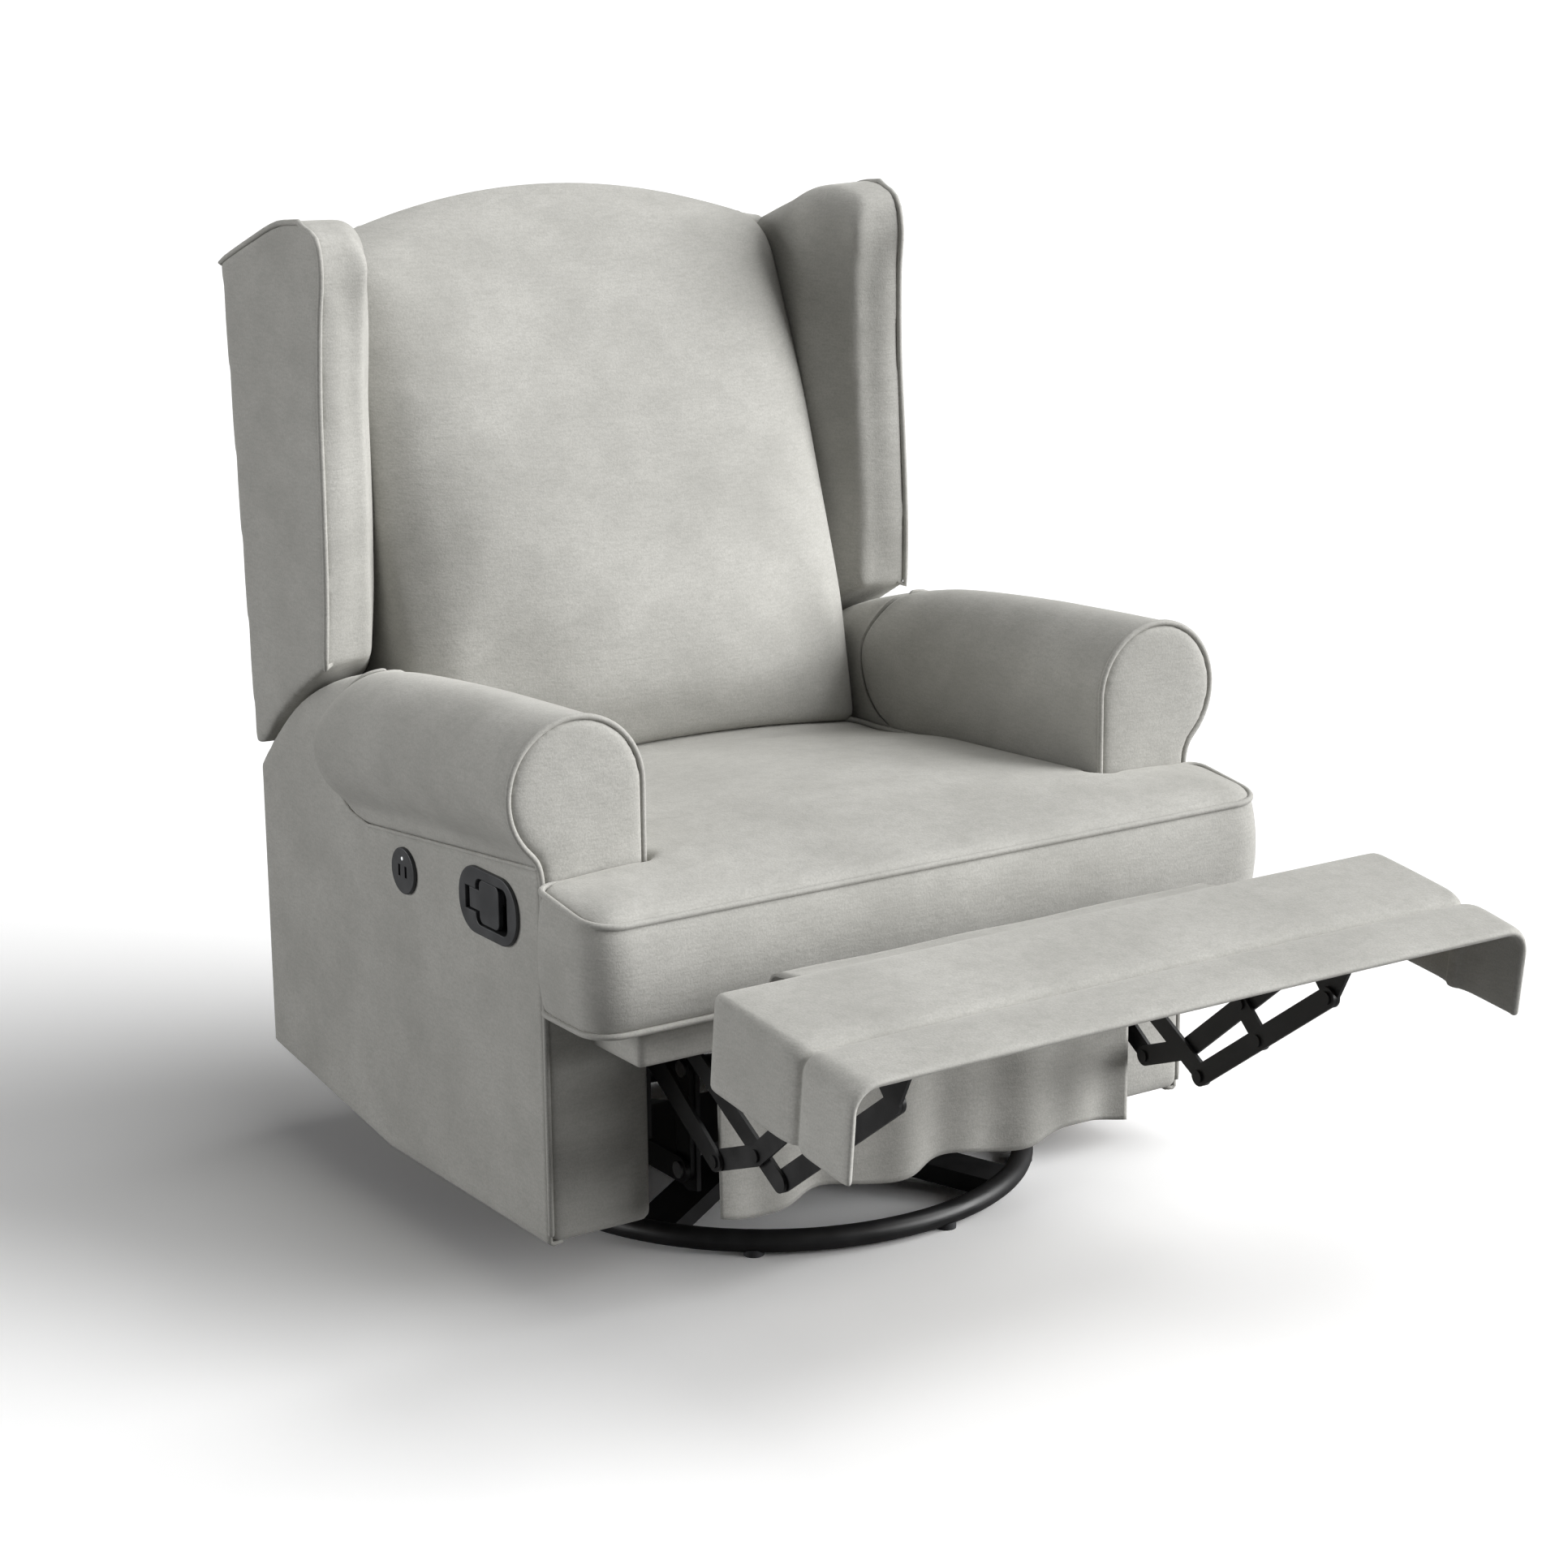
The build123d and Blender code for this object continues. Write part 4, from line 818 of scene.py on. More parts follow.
class SeatCushion:
    """Boxed T cushion, welted at the top and the bottom of its front."""

    def __init__(self, wardrobe: Wardrobe, sizes: SeatCushionSizes = SeatCushionSizes()) -> None:
        """Keeps what the cushion is made from.

        Args:
            wardrobe: finishes of the chair.
            sizes: sizes of the cushion.
        """
        self.wardrobe = wardrobe
        self.sizes = sizes
        s = sizes
        self.outline = rounded((
            (-s.ear_half, s.ear_rear, s.ear_rear_corner), (-s.ear_half, s.front, s.ear_corner),
            (s.ear_half, s.front, s.ear_corner), (s.ear_half, s.ear_rear, s.ear_rear_corner),
            (s.body_half, s.ear_rear, s.notch_corner), (s.body_half, s.rear, s.rear_corner),
            (-s.body_half, s.rear, s.rear_corner), (-s.body_half, s.ear_rear, s.notch_corner)))

    def rise(self, y: np.ndarray) -> np.ndarray:
        """Gives how far the top welt has climbed along the ears at places from front to rear."""
        s = self.sizes
        return s.ear_rise * np.clip((y - s.front) / (s.ear_rear - s.front), 0.0, 1.0)

    def sag(self, x: np.ndarray, y: np.ndarray) -> np.ndarray:
        """Gives how far the top falls beside the arms, more towards the back.

        Args:
            x: places across the chair.
            y: places from front to rear.

        Returns:
            Drop of the top.
        """
        s = self.sizes
        back = np.clip((y - s.ear_rear) / (s.sag_end - s.ear_rear), 0.0, 1.0)
        return s.side_sag * back * np.clip(np.abs(x) / s.body_half, 0.0, 1.0) ** 2

    def build(self) -> None:
        """Makes the stuffed cushion and its welts."""
        s = self.sizes
        stuffing = Stuffing(pressure=4.0, cap=0.024)
        pad = block("seat_cushion_cover", self.outline, s.bottom, s.welt, Facing.TOP)
        remesh(pad, s.voxel)
        places = read_places(pad)
        depth = edge_distance(places[:, :2], self.outline)
        level = places[:, 2].copy()
        top = level > s.welt - s.skin
        # The top falls to its welt at the front and the ear ends only; arms and back hold it up elsewhere.
        open_rim = rounded(((-s.ear_half, 1.0, 0.0), (-s.ear_half, s.front, s.ear_corner),
                            (s.ear_half, s.front, s.ear_corner), (s.ear_half, 1.0, 0.0)))
        inward = edge_distance(places[:, :2], open_rim)
        rise = self.rise(places[:, 1])
        lift = rise - self.sag(places[:, 0], places[:, 1])
        height = np.clip((level - s.bottom) / (s.welt - s.bottom), 0.0, 1.0)
        places[:, 2] += lift * height
        fall = np.clip((places[:, 1] - s.fall_start) / s.fall_length, 0.0, 1.0)
        crown = (s.crown - rise) * ease(inward / s.crown_reach)
        crown -= s.rear_fall * fall * fall * (3.0 - 2.0 * fall)
        places[top, 2] += crown[top]
        # The boxing stands out between its two welts, at the front and the ear ends.
        reach = s.ear_half - s.boxing_core
        core = np.column_stack((np.clip(places[:, 0], -reach, reach),
                                np.maximum(places[:, 1], s.front + s.boxing_core)))
        out = places[:, :2] - core
        out /= np.maximum(np.linalg.norm(out, axis=1, keepdims=True), 0.02)
        belly = np.sin(np.pi * height) ** 0.7
        free = (inward < 0.004) & (places[:, 1] < s.ear_rear - 0.004)
        places[free, :2] += s.boxing * (belly[:, None] * out)[free]
        write_places(pad, places)
        hold = np.zeros(len(places))
        hold[(inward < s.edge) & (np.abs(level - s.welt) < s.edge)] = 1.0
        hold[(depth < s.edge) & (np.abs(level - s.bottom) < s.edge)] = 1.0
        hold[level < s.bottom + s.skin] = 1.0
        beside_arm = (np.abs(places[:, 0]) > s.body_half - 0.004) & (places[:, 1] > s.ear_rear - s.skin)
        hold[beside_arm | (places[:, 1] > s.rear - s.edge)] = 1.0
        hold[top & (places[:, 1] > s.under_back)] = 1.0
        stuffing.swell(pad, hold)
        relax(pad, 2)
        subdivide(pad)
        self.wardrobe.wear(pad, "carriage", nodes=("seat_cushion",))
        seam = even(np.vstack((self.outline, self.outline[:1])), 400)[:-1]
        high = s.welt + self.rise(seam[:, 1]) - self.sag(seam[:, 0], seam[:, 1])
        for name, height in (("seat_top_welt", high),
                             ("seat_bottom_welt", np.full(len(seam), s.bottom + s.skin))):
            bead = piping(name, np.column_stack((seam, height)), s.bead, closed=True)
            self.wardrobe.wear(bead, "carriage")


@dataclass(frozen=True)
class BackSizes:
    """Sizes of the back in metres; the profiles run up the middle and up the edge as (z, y)."""

    half: float = 0.292
    side_round: float = 0.050
    bottom: float = 0.430
    top: float = 1.040
    arch: float = 0.054
    foot_arch: float = 0.024
    middle: tuple = ((0.430, 0.200), (0.480, 0.182), (0.520, 0.184), (0.650, 0.248), (0.780, 0.311),
                     (0.880, 0.362), (0.975, 0.409), (1.060, 0.444))
    edge: tuple = ((0.430, 0.222), (0.496, 0.234), (0.550, 0.241), (0.600, 0.254), (0.700, 0.287),
                   (0.800, 0.320), (0.900, 0.361), (0.970, 0.391), (1.060, 0.432))
    nose: float = 0.040
    columns: int = 81
    rows: int = 85
    crowding: float = 0.45
    belly: float = 2.3
    blunt: float = 0.98
    rim_cuts: int = 6
    least_thick: float = 0.004
    sewn: float = 0.004
    foot_held: float = 0.008
    rear_held: float = 0.010
    shell_half: float = 0.374
    shell_y: float = 0.455
    shell_z: float = 0.430
    shell_lean: float = 0.059
    shell_thick: float = 0.012
    shell_gap: float = 0.001
    shell_foot: float = 0.410
    shell_low: float = 0.118
    shell_bend: float = 0.380
    shell_shoulder: float = 0.971
    shell_arch: float = 0.058
    shell_waist: float = 0.444
    shell_tail_half: float = 0.281
    shell_bottom: float = 0.119
    shell_corner: float = 0.010
    shell_notch: float = 0.006
    shell_tail_corner: float = 0.012
    shell_rim: float = 0.004
    shell_puff: float = 0.004
    puff_reach: float = 0.05
    shell_voxel: float = 0.007
    step_most: float = 0.010
    step_reach: float = 0.060
    crest_band: float = 0.009


class Back:
    """Back cushion between the wings, and the outside back."""

    def __init__(self, wardrobe: Wardrobe, sizes: BackSizes = BackSizes()) -> None:
        """Keeps what the back is made from: the chair's finishes and its own sizes."""
        self.wardrobe = wardrobe
        self.sizes = sizes

    def shell(self, heights: np.ndarray) -> np.ndarray:
        """Gives the outer face of the leaning outside back.

        Args:
            heights: heights to look at.

        Returns:
            Distance behind the swivel axis at each height.
        """
        s = self.sizes
        upper = s.shell_y + s.shell_lean * (heights - s.shell_z)
        bend = s.shell_y + s.shell_lean * (s.shell_bend - s.shell_z)
        share = (heights - s.shell_low) / (s.shell_bend - s.shell_low)
        lower = s.shell_foot + (bend - s.shell_foot) * share
        return np.where(heights >= s.shell_bend, upper, lower)

    def build_cushion(self) -> None:
        """Makes the stuffed back cushion."""
        s = self.sizes
        stuffing = Stuffing(pressure=4.0, cap=0.024)
        # The columns crowd towards the sides, where the cushion turns.
        widest = s.crowding * math.pi
        across = np.sin(np.linspace(-widest, widest, s.columns)) / math.sin(widest)
        up = np.linspace(0.0, 1.0, s.rows)
        middle = spline(s.middle, 200)
        edge = spline(s.edge, 200)
        u, v = np.meshgrid(across, up)
        x = u * s.half
        roof = s.top - s.arch * u**2
        floor = s.bottom - s.foot_arch * u**2
        z = floor + (roof - floor) * v
        centre_y = np.interp(z, middle[:, 0], middle[:, 1])
        edge_y = np.interp(z, edge[:, 0], edge[:, 1])
        y = centre_y + (edge_y - centre_y) * np.abs(u) ** s.belly
        rise = np.clip((z - (roof - s.nose)) / s.nose, 0.0, 1.0)
        turn = np.clip((np.abs(x) - (s.half - s.side_round)) / s.side_round, 0.0, 1.0)
        for share, depth in ((rise, s.nose), (turn, s.side_round)):
            y = y + depth * (1.0 - np.sqrt(1.0 - s.blunt * share**2))
        gap = s.shell_thick + s.shell_gap
        shape = lattice(np.stack((x, np.minimum(y, self.shell(z) - gap - s.least_thick), z), axis=-1))
        raised = bmesh.ops.extrude_face_region(shape, geom=shape.faces[:])["geom"]
        behind = {g for g in raised if isinstance(g, bmesh.types.BMVert)}
        for vert in behind:
            vert.co.y = float(self.shell(vert.co.z)) - gap
        rims = [e for e in shape.edges if (e.verts[0] in behind) != (e.verts[1] in behind)]
        bmesh.ops.subdivide_edges(shape, edges=rims, cuts=s.rim_cuts, use_grid_fill=True)
        pad = new_object("back_cushion_cover", shape)
        relax(pad, 6)
        places = read_places(pad)
        hold = np.zeros(len(places))
        hold[places[:, 1] > self.shell(places[:, 2]) - s.shell_thick - s.rear_held] = 1.0
        foot = s.bottom - s.foot_arch * (places[:, 0] / s.half) ** 2
        hold[(np.abs(places[:, 0]) > s.half - s.sewn) | (places[:, 2] < foot + s.foot_held)] = 1.0
        stuffing.swell(pad, hold)
        relax(pad, 2)
        subdivide(pad)
        self.wardrobe.wear(pad, "back", nodes=("back_cushion",))

    def crest(self, x: np.ndarray) -> np.ndarray:
        """Gives the height of the outside back's arched top at places across the chair."""
        s = self.sizes
        return s.shell_shoulder + s.shell_arch * (1.0 - (x / s.shell_half) ** 2)

    def build_shell(self) -> None:
        """Makes the upholstered outside back."""
        s = self.sizes
        end = s.shell_half - s.shell_rim
        arch = [(x, self.crest(x), 0.0) for x in np.linspace(end, -end, 25)]
        half = [(s.shell_tail_half, s.shell_bottom, s.shell_tail_corner),
                (s.shell_tail_half, s.shell_waist, s.shell_notch),
                (s.shell_half, s.shell_waist, s.shell_corner)]
        outline = rounded([(-x, z, radius) for x, z, radius in reversed(half)] + half + arch)
        panel = block("outside_back_cover", outline, 0.0, s.shell_thick, Facing.FRONT, low_round=s.shell_rim)
        voxel = s.shell_voxel
        remesh(panel, voxel)
        places = read_places(panel)
        depth = edge_distance(places[:, (0, 2)], outline)
        puff = s.shell_puff * ease(depth / s.puff_reach)
        # The voxels' steps along the arch are drawn out, column by column.
        phase = np.angle(np.exp(2j * math.pi * places[:, 0] / voxel).mean()) / (2.0 * math.pi)
        column = np.round(places[:, 0] / voxel - phase).astype(int)
        column -= column.min()
        peak = np.zeros(column.max() + 1)
        np.maximum.at(peak, column, places[:, 2])
        crest = self.crest(places[:, 0])
        shift = np.clip(crest - peak[column], -s.step_most, s.step_most)
        places[:, 2] += shift * np.clip(1.0 - (peak[column] - places[:, 2]) / s.step_reach, 0.0, 1.0)
        outer = places[:, 1] > -0.5 * s.shell_thick
        places[:, 1] += self.shell(places[:, 2]) + np.where(outer, puff, 0.0)
        write_places(panel, places)
        relax(panel, 3)
        relax(panel, 8, crest - places[:, 2] < s.crest_band)
        self.wardrobe.wear(panel, "back", nodes=("back_panel",))

    def build(self) -> None:
        """Makes the whole back."""
        self.build_cushion()
        self.build_shell()


@dataclass(frozen=True)
class WingSizes:
    """Sizes of a wing in metres; the runs are (y, z)."""

    front: tuple = ((0.279, 0.559), (0.275, 0.640), (0.277, 0.740), (0.281, 0.840), (0.278, 0.930),
                    (0.272, 0.982), (0.282, 1.018), (0.318, 1.032))
    top: tuple = ((0.318, 1.034), (0.365, 1.028), (0.420, 1.009), (0.4910, 0.982))
    bottom: tuple = ((0.4590, 0.4370), (0.4330, 0.4480), (0.408, 0.4745), (0.349, 0.519), (0.279, 0.559))
    voxel: float = 0.0055
    band_round: float = 0.030
    seam_round: float = 0.003
    crest_start: float = 0.985
    inner: float = 0.2985
    outer: float = 0.388
    lean: float = 0.0145
    crest: float = 0.034
    leading: float = 0.280
    square: float = 0.470
    low: float = 0.446
    high: float = 1.034
    rear_strip: float = 0.369
    rear_lift: float = 0.0035
    taper: float = 0.026
    wedge_end: float = 0.353
    wedge: float = 0.078
    bead: float = 0.0032
    bead_inset: float = 0.0012
    bead_drop: float = 0.0015
    rear_sink: float = 0.360
    sink_depth: float = 0.0045
    tails: tuple = ((-0.008, -0.004, -0.006), (-0.008, 0.004, 0.004))
    strip_ramp: float = 0.005
    rear_band: float = 0.012
    rear_ramp: float = 0.008
    sewn_share: float = 0.93
    sewn_rear: float = 0.006
    loose_share: float = 0.85


class Wings:
    """The two wings, each with a rounded front band and piping on its outer edge."""

    def __init__(self, wardrobe: Wardrobe, sizes: WingSizes = WingSizes()) -> None:
        """Keeps what the wings are made from: the chair's finishes and its own sizes."""
        self.wardrobe = wardrobe
        self.sizes = sizes

    def lean(self, depths: np.ndarray, heights: np.ndarray) -> np.ndarray:
        """Gives how far a wing leans in: its front edge does, its rear edge stands square.

        Args:
            depths: places from front to rear.
            heights: heights to look at.

        Returns:
            Shift towards the middle of the chair.
        """
        s = self.sizes
        ahead = np.clip((s.square - depths) / (s.square - s.leading), 0.0, 1.0)
        return s.lean * ahead * (heights - s.low) / (s.high - s.low)

    def build(self) -> None:
        """Makes both wings and their piping."""
        s = self.sizes
        stuffing = Stuffing(pressure=3.0, cap=0.009)
        front = spline(s.front, 40)
        top = spline(s.top, 14)
        bottom = spline(s.bottom, 16)
        outline = np.vstack((front, top[1:], bottom[:-1]))
        pad = block("left_wing_cover", outline, s.inner, s.outer, Facing.SIDE, low_round=s.band_round,
                    high_round=s.seam_round)
        remesh(pad, s.voxel)
        relax(pad, 3)
        places = read_places(pad)
        rear_y = np.interp(places[:, 2], (bottom[0, 1], top[-1, 1]), (bottom[0, 0], top[-1, 0]))
        # The outer strip of the rear edge laps over the outside back.
        strip = np.clip((places[:, 0] - s.rear_strip) / s.strip_ramp, 0.0, 1.0)
        near_rear = np.clip((places[:, 1] - rear_y + s.rear_band) / s.rear_ramp, 0.0, 1.0)
        places[:, 1] += s.rear_lift * strip * near_rear
        # The inner top edge is rolled over with the crest's radius.
        crest = np.vstack((front[front[:, 1] > s.crest_start], top[1:]))
        below = np.interp(places[:, 1], crest[:, 0], crest[:, 1]) - places[:, 2]
        across = np.clip(1.0 - (places[:, 0] - s.inner) / s.crest, 0.0, None)
        above = np.clip(1.0 - below / s.crest, 0.0, None)
        excess = 1.0 - 1.0 / np.maximum(np.hypot(across, above), 1.0)
        places[:, 0] += s.crest * across * excess
        places[:, 2] -= s.crest * above * excess
        share = np.clip((places[:, 0] - s.inner) / (s.outer - s.inner), 0.0, 1.0)
        taper = np.clip((s.wedge_end - places[:, 1]) / s.wedge, 0.0, 1.0)
        taper = taper * taper * (3.0 - 2.0 * taper)
        inner = s.inner + s.taper * taper
        places[:, 0] = inner + share * (s.outer - inner) - self.lean(places[:, 1], places[:, 2])
        write_places(pad, places)
        hold = np.where((share > s.sewn_share) | (places[:, 1] > rear_y - s.sewn_rear), 1.0, 0.0)
        stuffing.swell(pad, hold)
        relax(pad, 2, share < s.loose_share)
        twin = mirrored(pad, "right_wing_cover")
        path = np.vstack((top[::-1], front[::-1][1:]))
        side = s.outer - s.bead_inset - self.lean(path[:, 0], path[:, 1])
        run = np.column_stack((side, path))
        sunk = np.clip((run[:, 1] - s.rear_sink) / (top[-1, 0] - s.rear_sink), 0.0, 1.0)
        run[:, 2] -= s.bead_drop + s.sink_depth * sunk
        first, last = s.tails
        bead = piping("left_wing_piping", np.vstack((run[0] + first, run, run[-1] + last)), s.bead)
        for piece, name in ((pad, "left_wing"), (twin, "right_wing")):
            subdivide(piece)
            self.wardrobe.wear(piece, "back", nodes=(name,))
        for piece in (bead, mirrored(bead, "right_wing_piping")):
            self.wardrobe.wear(piece, "back")


@dataclass(frozen=True)
class ArmSizes:
    """Sizes of a rolled arm in metres; the runs are (y, z)."""

    inner: float = 0.2865
    outer: float = 0.405
    front: float = -0.217
    board: float = 0.022
    wrap: float = 0.003
    corner: float = 0.010
    groove: float = 0.0026
    rear: float = 0.414
    bottom: float = 0.064
    kick: float = 0.129
    rear_bottom: float = 0.1065
    roll_x: float = 0.363
    roll_radius: float = 0.077
    columns: int = 44
    ridge: tuple = ((-0.230, 0.602), (-0.110, 0.5965), (0.0, 0.590), (0.120, 0.579), (0.185, 0.569),
                    (0.241, 0.556), (0.302, 0.537), (0.355, 0.511), (0.390, 0.478), (0.406, 0.454),
                    (0.415, 0.430))
    seam: tuple = ((-0.230, 0.454), (0.185, 0.412), (0.420, 0.416))
    end_share: tuple = (0.0, 0.03, 0.09, 0.20, 0.36, 0.65, 1.0)
    end_y: tuple = (0.150, 0.172, 0.194, 0.214, 0.230, 0.240, 0.212)
    end_at: float = 0.215
    end_round: float = 0.050
    end_proud: float = 0.14
    shoulder_square: float = 0.62
    shoulder_crown: float = 0.9
    front_crown: float = 0.6015
    front_inset: float = 0.0025
    front_puff: float = 0.0045
    handle: tuple = ((-0.165, 0.364), (-0.061, 0.364), (-0.061, 0.420), (-0.165, 0.420))
    handle_corner: float = 0.026
    socket: tuple = (0.068, 0.385)
    socket_radius: float = 0.0185
    tuck: float = 0.005
    inner_foot: float = 0.400
    bead: float = 0.0032
    seam_bead: float = 0.0019
    seam_lift: float = 0.0008
    seam_proud: float = 0.0010
    seam_stop: int = 22
    seam_tail: tuple = (-0.004, 0.002, -0.008)
    hem: tuple = ((0.016, -0.002), (0.005, -0.004), (0.001, -0.002))
    lip: float = 0.10
    lip_start: float = 0.03
    lip_reach: float = 0.16
    merge: float = 0.0004
    front_voxel: float = 0.005
    front_round: float = 0.004
    front_reach: float = 0.045
    bead_inset: float = 0.0014
    bead_back: float = 0.0012
    bead_start: float = 0.30
    bead_tail: tuple = (-0.003, 0.008, -0.002)
    panel: tuple = ((-0.194, 0.101, 0.006), (0.390, 0.143, 0.006), (0.390, 0.418, 0.006), (0.180, 0.418, 0.0),
                    (-0.194, 0.449, 0.006))
    panel_thick: float = 0.014
    panel_round: float = 0.003
    cover: float = 0.004


class Arm:
    """A rolled arm: piped front panel, roll, side cover with the rear shoulder, and inner panel."""

    def __init__(self, wardrobe: Wardrobe, side: str, sign: float, sizes: ArmSizes = ArmSizes()) -> None:
        """Keeps what the arm is made from.

        Args:
            wardrobe: finishes of the chair.
            side: "left" or "right", as the sitter has it.
            sign: 1 for the left arm and -1 for the right.
            sizes: sizes of the arm.
        """
        self.wardrobe = wardrobe
        self.side = side
        self.sign = sign
        self.sizes = sizes
        self.ridge_line = spline(sizes.ridge, 240)
        self.seam_line = np.array(sizes.seam)
        self.columns = sizes.columns
        self.middle = (sizes.outer + sizes.inner) / 2

    def ridge(self, y: float) -> float:
        """Gives the height of the arm's ridge at a place along it."""
        return float(np.interp(y, self.ridge_line[:, 0], self.ridge_line[:, 1]))

    def seam(self, y: float) -> float:
        """Gives the height of the seam under the roll at a place along the arm."""
        return float(np.interp(y, self.seam_line[:, 0], self.seam_line[:, 1]))

    def roll_section(self, y: float) -> np.ndarray:
        """Runs round the full roll, from the seam outside over the top to the inner face.

        Args:
            y: place along the arm.

        Returns:
            Points as (x, z).
        """
        s = self.sizes
        centre = self.ridge(y) - s.roll_radius
        angles = np.radians(np.linspace(-48.0, 180.0, 60))
        arc = s.roll_radius * np.column_stack((np.cos(angles), np.sin(angles))) + (s.roll_x, centre)
        neck = spline(((s.outer + 0.0008, self.seam(y) - 0.0006), (s.outer + 0.004, centre - 0.063),
                       tuple(arc[3])), 10)
        return np.vstack((neck, arc[4:], ((s.inner, s.inner_foot),)))

    def shoulder_section(self, y: float) -> np.ndarray:
        """Runs round the plain arm behind the roll, from the seam's height to the inner face.

        Args:
            y: place along the arm.

        Returns:
            Points as (x, z).
        """
        s = self.sizes
        low = self.seam(y)
        rise = max(self.ridge(y) - low, 0.003)
        angles = np.linspace(0.0, math.pi, 60)
        half = (s.outer - s.inner) / 2
        x = self.middle + half * np.sign(np.cos(angles)) * np.abs(np.cos(angles)) ** s.shoulder_square
        z = low + rise * np.abs(np.sin(angles)) ** s.shoulder_crown
        return np.vstack((np.column_stack((x, z)), ((s.inner, s.inner_foot),)))

    def end_curve(self) -> np.ndarray:
        """Gives where the roll ends, for each column round the arm.

        Returns:
            One place along the arm for each column.
        """
        s = self.sizes
        section = even(self.shoulder_section(s.end_at), self.columns)
        low = self.seam(s.end_at)
        share = np.clip((section[:, 1] - low) / (self.ridge(s.end_at) - low), 0.0, 1.0)
        curve = spline(tuple(zip(s.end_share, s.end_y)), 120)
        return np.interp(share, curve[:, 0], curve[:, 1])

    def round_places(self, y: np.ndarray, full: np.ndarray) -> np.ndarray:
        """Places one row round the arm, each column at its own place along it.

        Args:
            y: place along the arm for each column.
            full: 1 on the full roll, 0 on the plain shoulder, for each column.

        Returns:
            x, y, z for each column.
        """
        row = []
        for k in range(self.columns):
            plain = even(self.shoulder_section(float(y[k])), self.columns)[k]
            bulged = even(self.roll_section(float(y[k])), self.columns)[k]
            x, z = plain + (bulged - plain) * full[k]
            row.append((x, y[k], z))
        return np.array(row)

    def tucked(self, row: np.ndarray, along: float) -> np.ndarray:
        """Turns the edge of a cover in at the seam behind the roll.

        Args:
            row: x, y, z of the edge.
            along: how far it goes on along the arm.

        Returns:
            The edge inside the seam.
        """
        tuck = self.sizes.tuck
        inward = np.clip(self.middle - row[:, 0], -tuck, tuck)
        return row + np.column_stack((inward, np.full(len(row), along), np.full(len(row), -tuck)))

    def finish(self, piece: bpy.types.Object, nodes: Sequence[str] = ()) -> None:
        """Puts a piece, built for the left arm, on its own side and dresses it.

        Args:
            piece: mesh object.
            nodes: CAD nodes that it stands for.
        """
        if self.sign < 0.0:
            piece.data.transform(Matrix.Scale(-1.0, 4, Vector((1.0, 0.0, 0.0))))
            piece.data.flip_normals()
        self.wardrobe.wear(piece, "carriage", nodes=nodes)

    def build_roll(self) -> None:
        """Makes the padded roll up to its curved rear seam."""
        s = self.sizes
        begin = s.front + s.wrap
        ends = self.end_curve()
        rows = []
        for share in np.linspace(0.0, 1.0, 40):
            y = begin + share * (ends - begin)
            left = np.clip((y - (ends - s.end_round)) / s.end_round, 0.0, 1.0)
            rows.append(self.round_places(y, np.sqrt(np.clip(1.0 - left**2, s.end_proud**2, 1.0))))
        points = np.concatenate((rows, self.tucked(rows[-1], 0.5 * s.groove)[None]), axis=0)
        under = points[:, :1].copy()
        under[:, :, 0] -= 2 * s.tuck
        under[:, :, 2] += 0.5 * s.tuck
        points = np.concatenate((under, points), axis=1)
        piece = grid(f"{self.side}_arm_roll_cover", points)
        face_outward(piece, (s.roll_x, 0.0, 0.5))
        thicken(piece, s.cover)
        subdivide(piece)
        self.finish(piece, (f"{self.side}_arm_roll",))
        # A fine bead marks the seam, along the roll's foot and up round its rear end.
        lower = [(s.outer + s.seam_proud, y, self.seam(y)) for y in np.linspace(begin + 0.002, ends[0], 60)]
        around = self.round_places(ends, np.full(self.columns, s.end_proud))[1:-s.seam_stop]
        spread = around - (self.middle, 0.0, s.seam[1][1])
        spread[:, 1] = 0.0
        around += s.seam_lift * spread / np.linalg.norm(spread, axis=1, keepdims=True)
        around[:, 1] += 0.5 * s.groove
        tail = around[-1] + s.seam_tail
        line = even(np.vstack((lower, around, tail)), 220)
        self.finish(piping(f"{self.side}_arm_roll_seam", line, s.seam_bead))

    def build_side(self) -> None:
        """Makes the side cover, which runs on over the shoulder and round the rear."""
        s = self.sizes
        ends = self.end_curve()
        front = s.front + s.wrap
        corner = s.corner
        lips = ends + s.groove
        behind = lips[0] + (s.rear - corner - lips[0]) * np.linspace(0.0, 1.0, 30) ** 1.5
        lengths = np.concatenate((np.linspace(front, ends[0], 40), behind))
        bends = np.radians(np.linspace(0.0, 90.0, 6))[1:]
        rear_x = np.linspace(s.outer - corner, s.inner + 0.004, 12)[1:]
        columns = [(s.outer, y, 1.0, 0.0) for y in lengths]
        for bend in bends:
            out, back = math.cos(bend), math.sin(bend)
            columns.append((s.outer - corner + corner * out, s.rear - corner + corner * back, out, back))
        columns += [(x, s.rear, 0.0, 1.0) for x in rear_x]
        crown = self.round_places(np.full(self.columns, s.rear), np.zeros(self.columns))[:-1]
        tops = [self.seam(y) if b < 1.0 else float(np.interp(x, crown[::-1, 0], crown[::-1, 2]))
                for x, y, a, b in columns]
        rows = []
        for inward, below in s.hem:
            rows.append([(x - a * inward, y - b * inward, self.foot(y) + below) for x, y, a, b in columns])
        for share in np.linspace(0.0, 1.0, 38):
            rows.append([(x, y, self.foot(y) + share * (high - self.foot(y)))
                         for (x, y, a, b), high in zip(columns, tops)])
        piece = grid(f"{self.side}_side_cover", np.array(rows))
        face_outward(piece, (0.30, 0.1, 0.25))
        rows = []
        for y in np.concatenate((behind, s.rear - corner + corner * np.sin(bends))):
            share = (y - behind[0]) / (behind[-1] - behind[0])
            lip = s.lip * min(1.0, share / s.lip_start) * math.exp(-(share / s.lip_reach) ** 2)
            row = self.round_places(lips + share * (behind[-1] - lips), np.full(self.columns, lip))
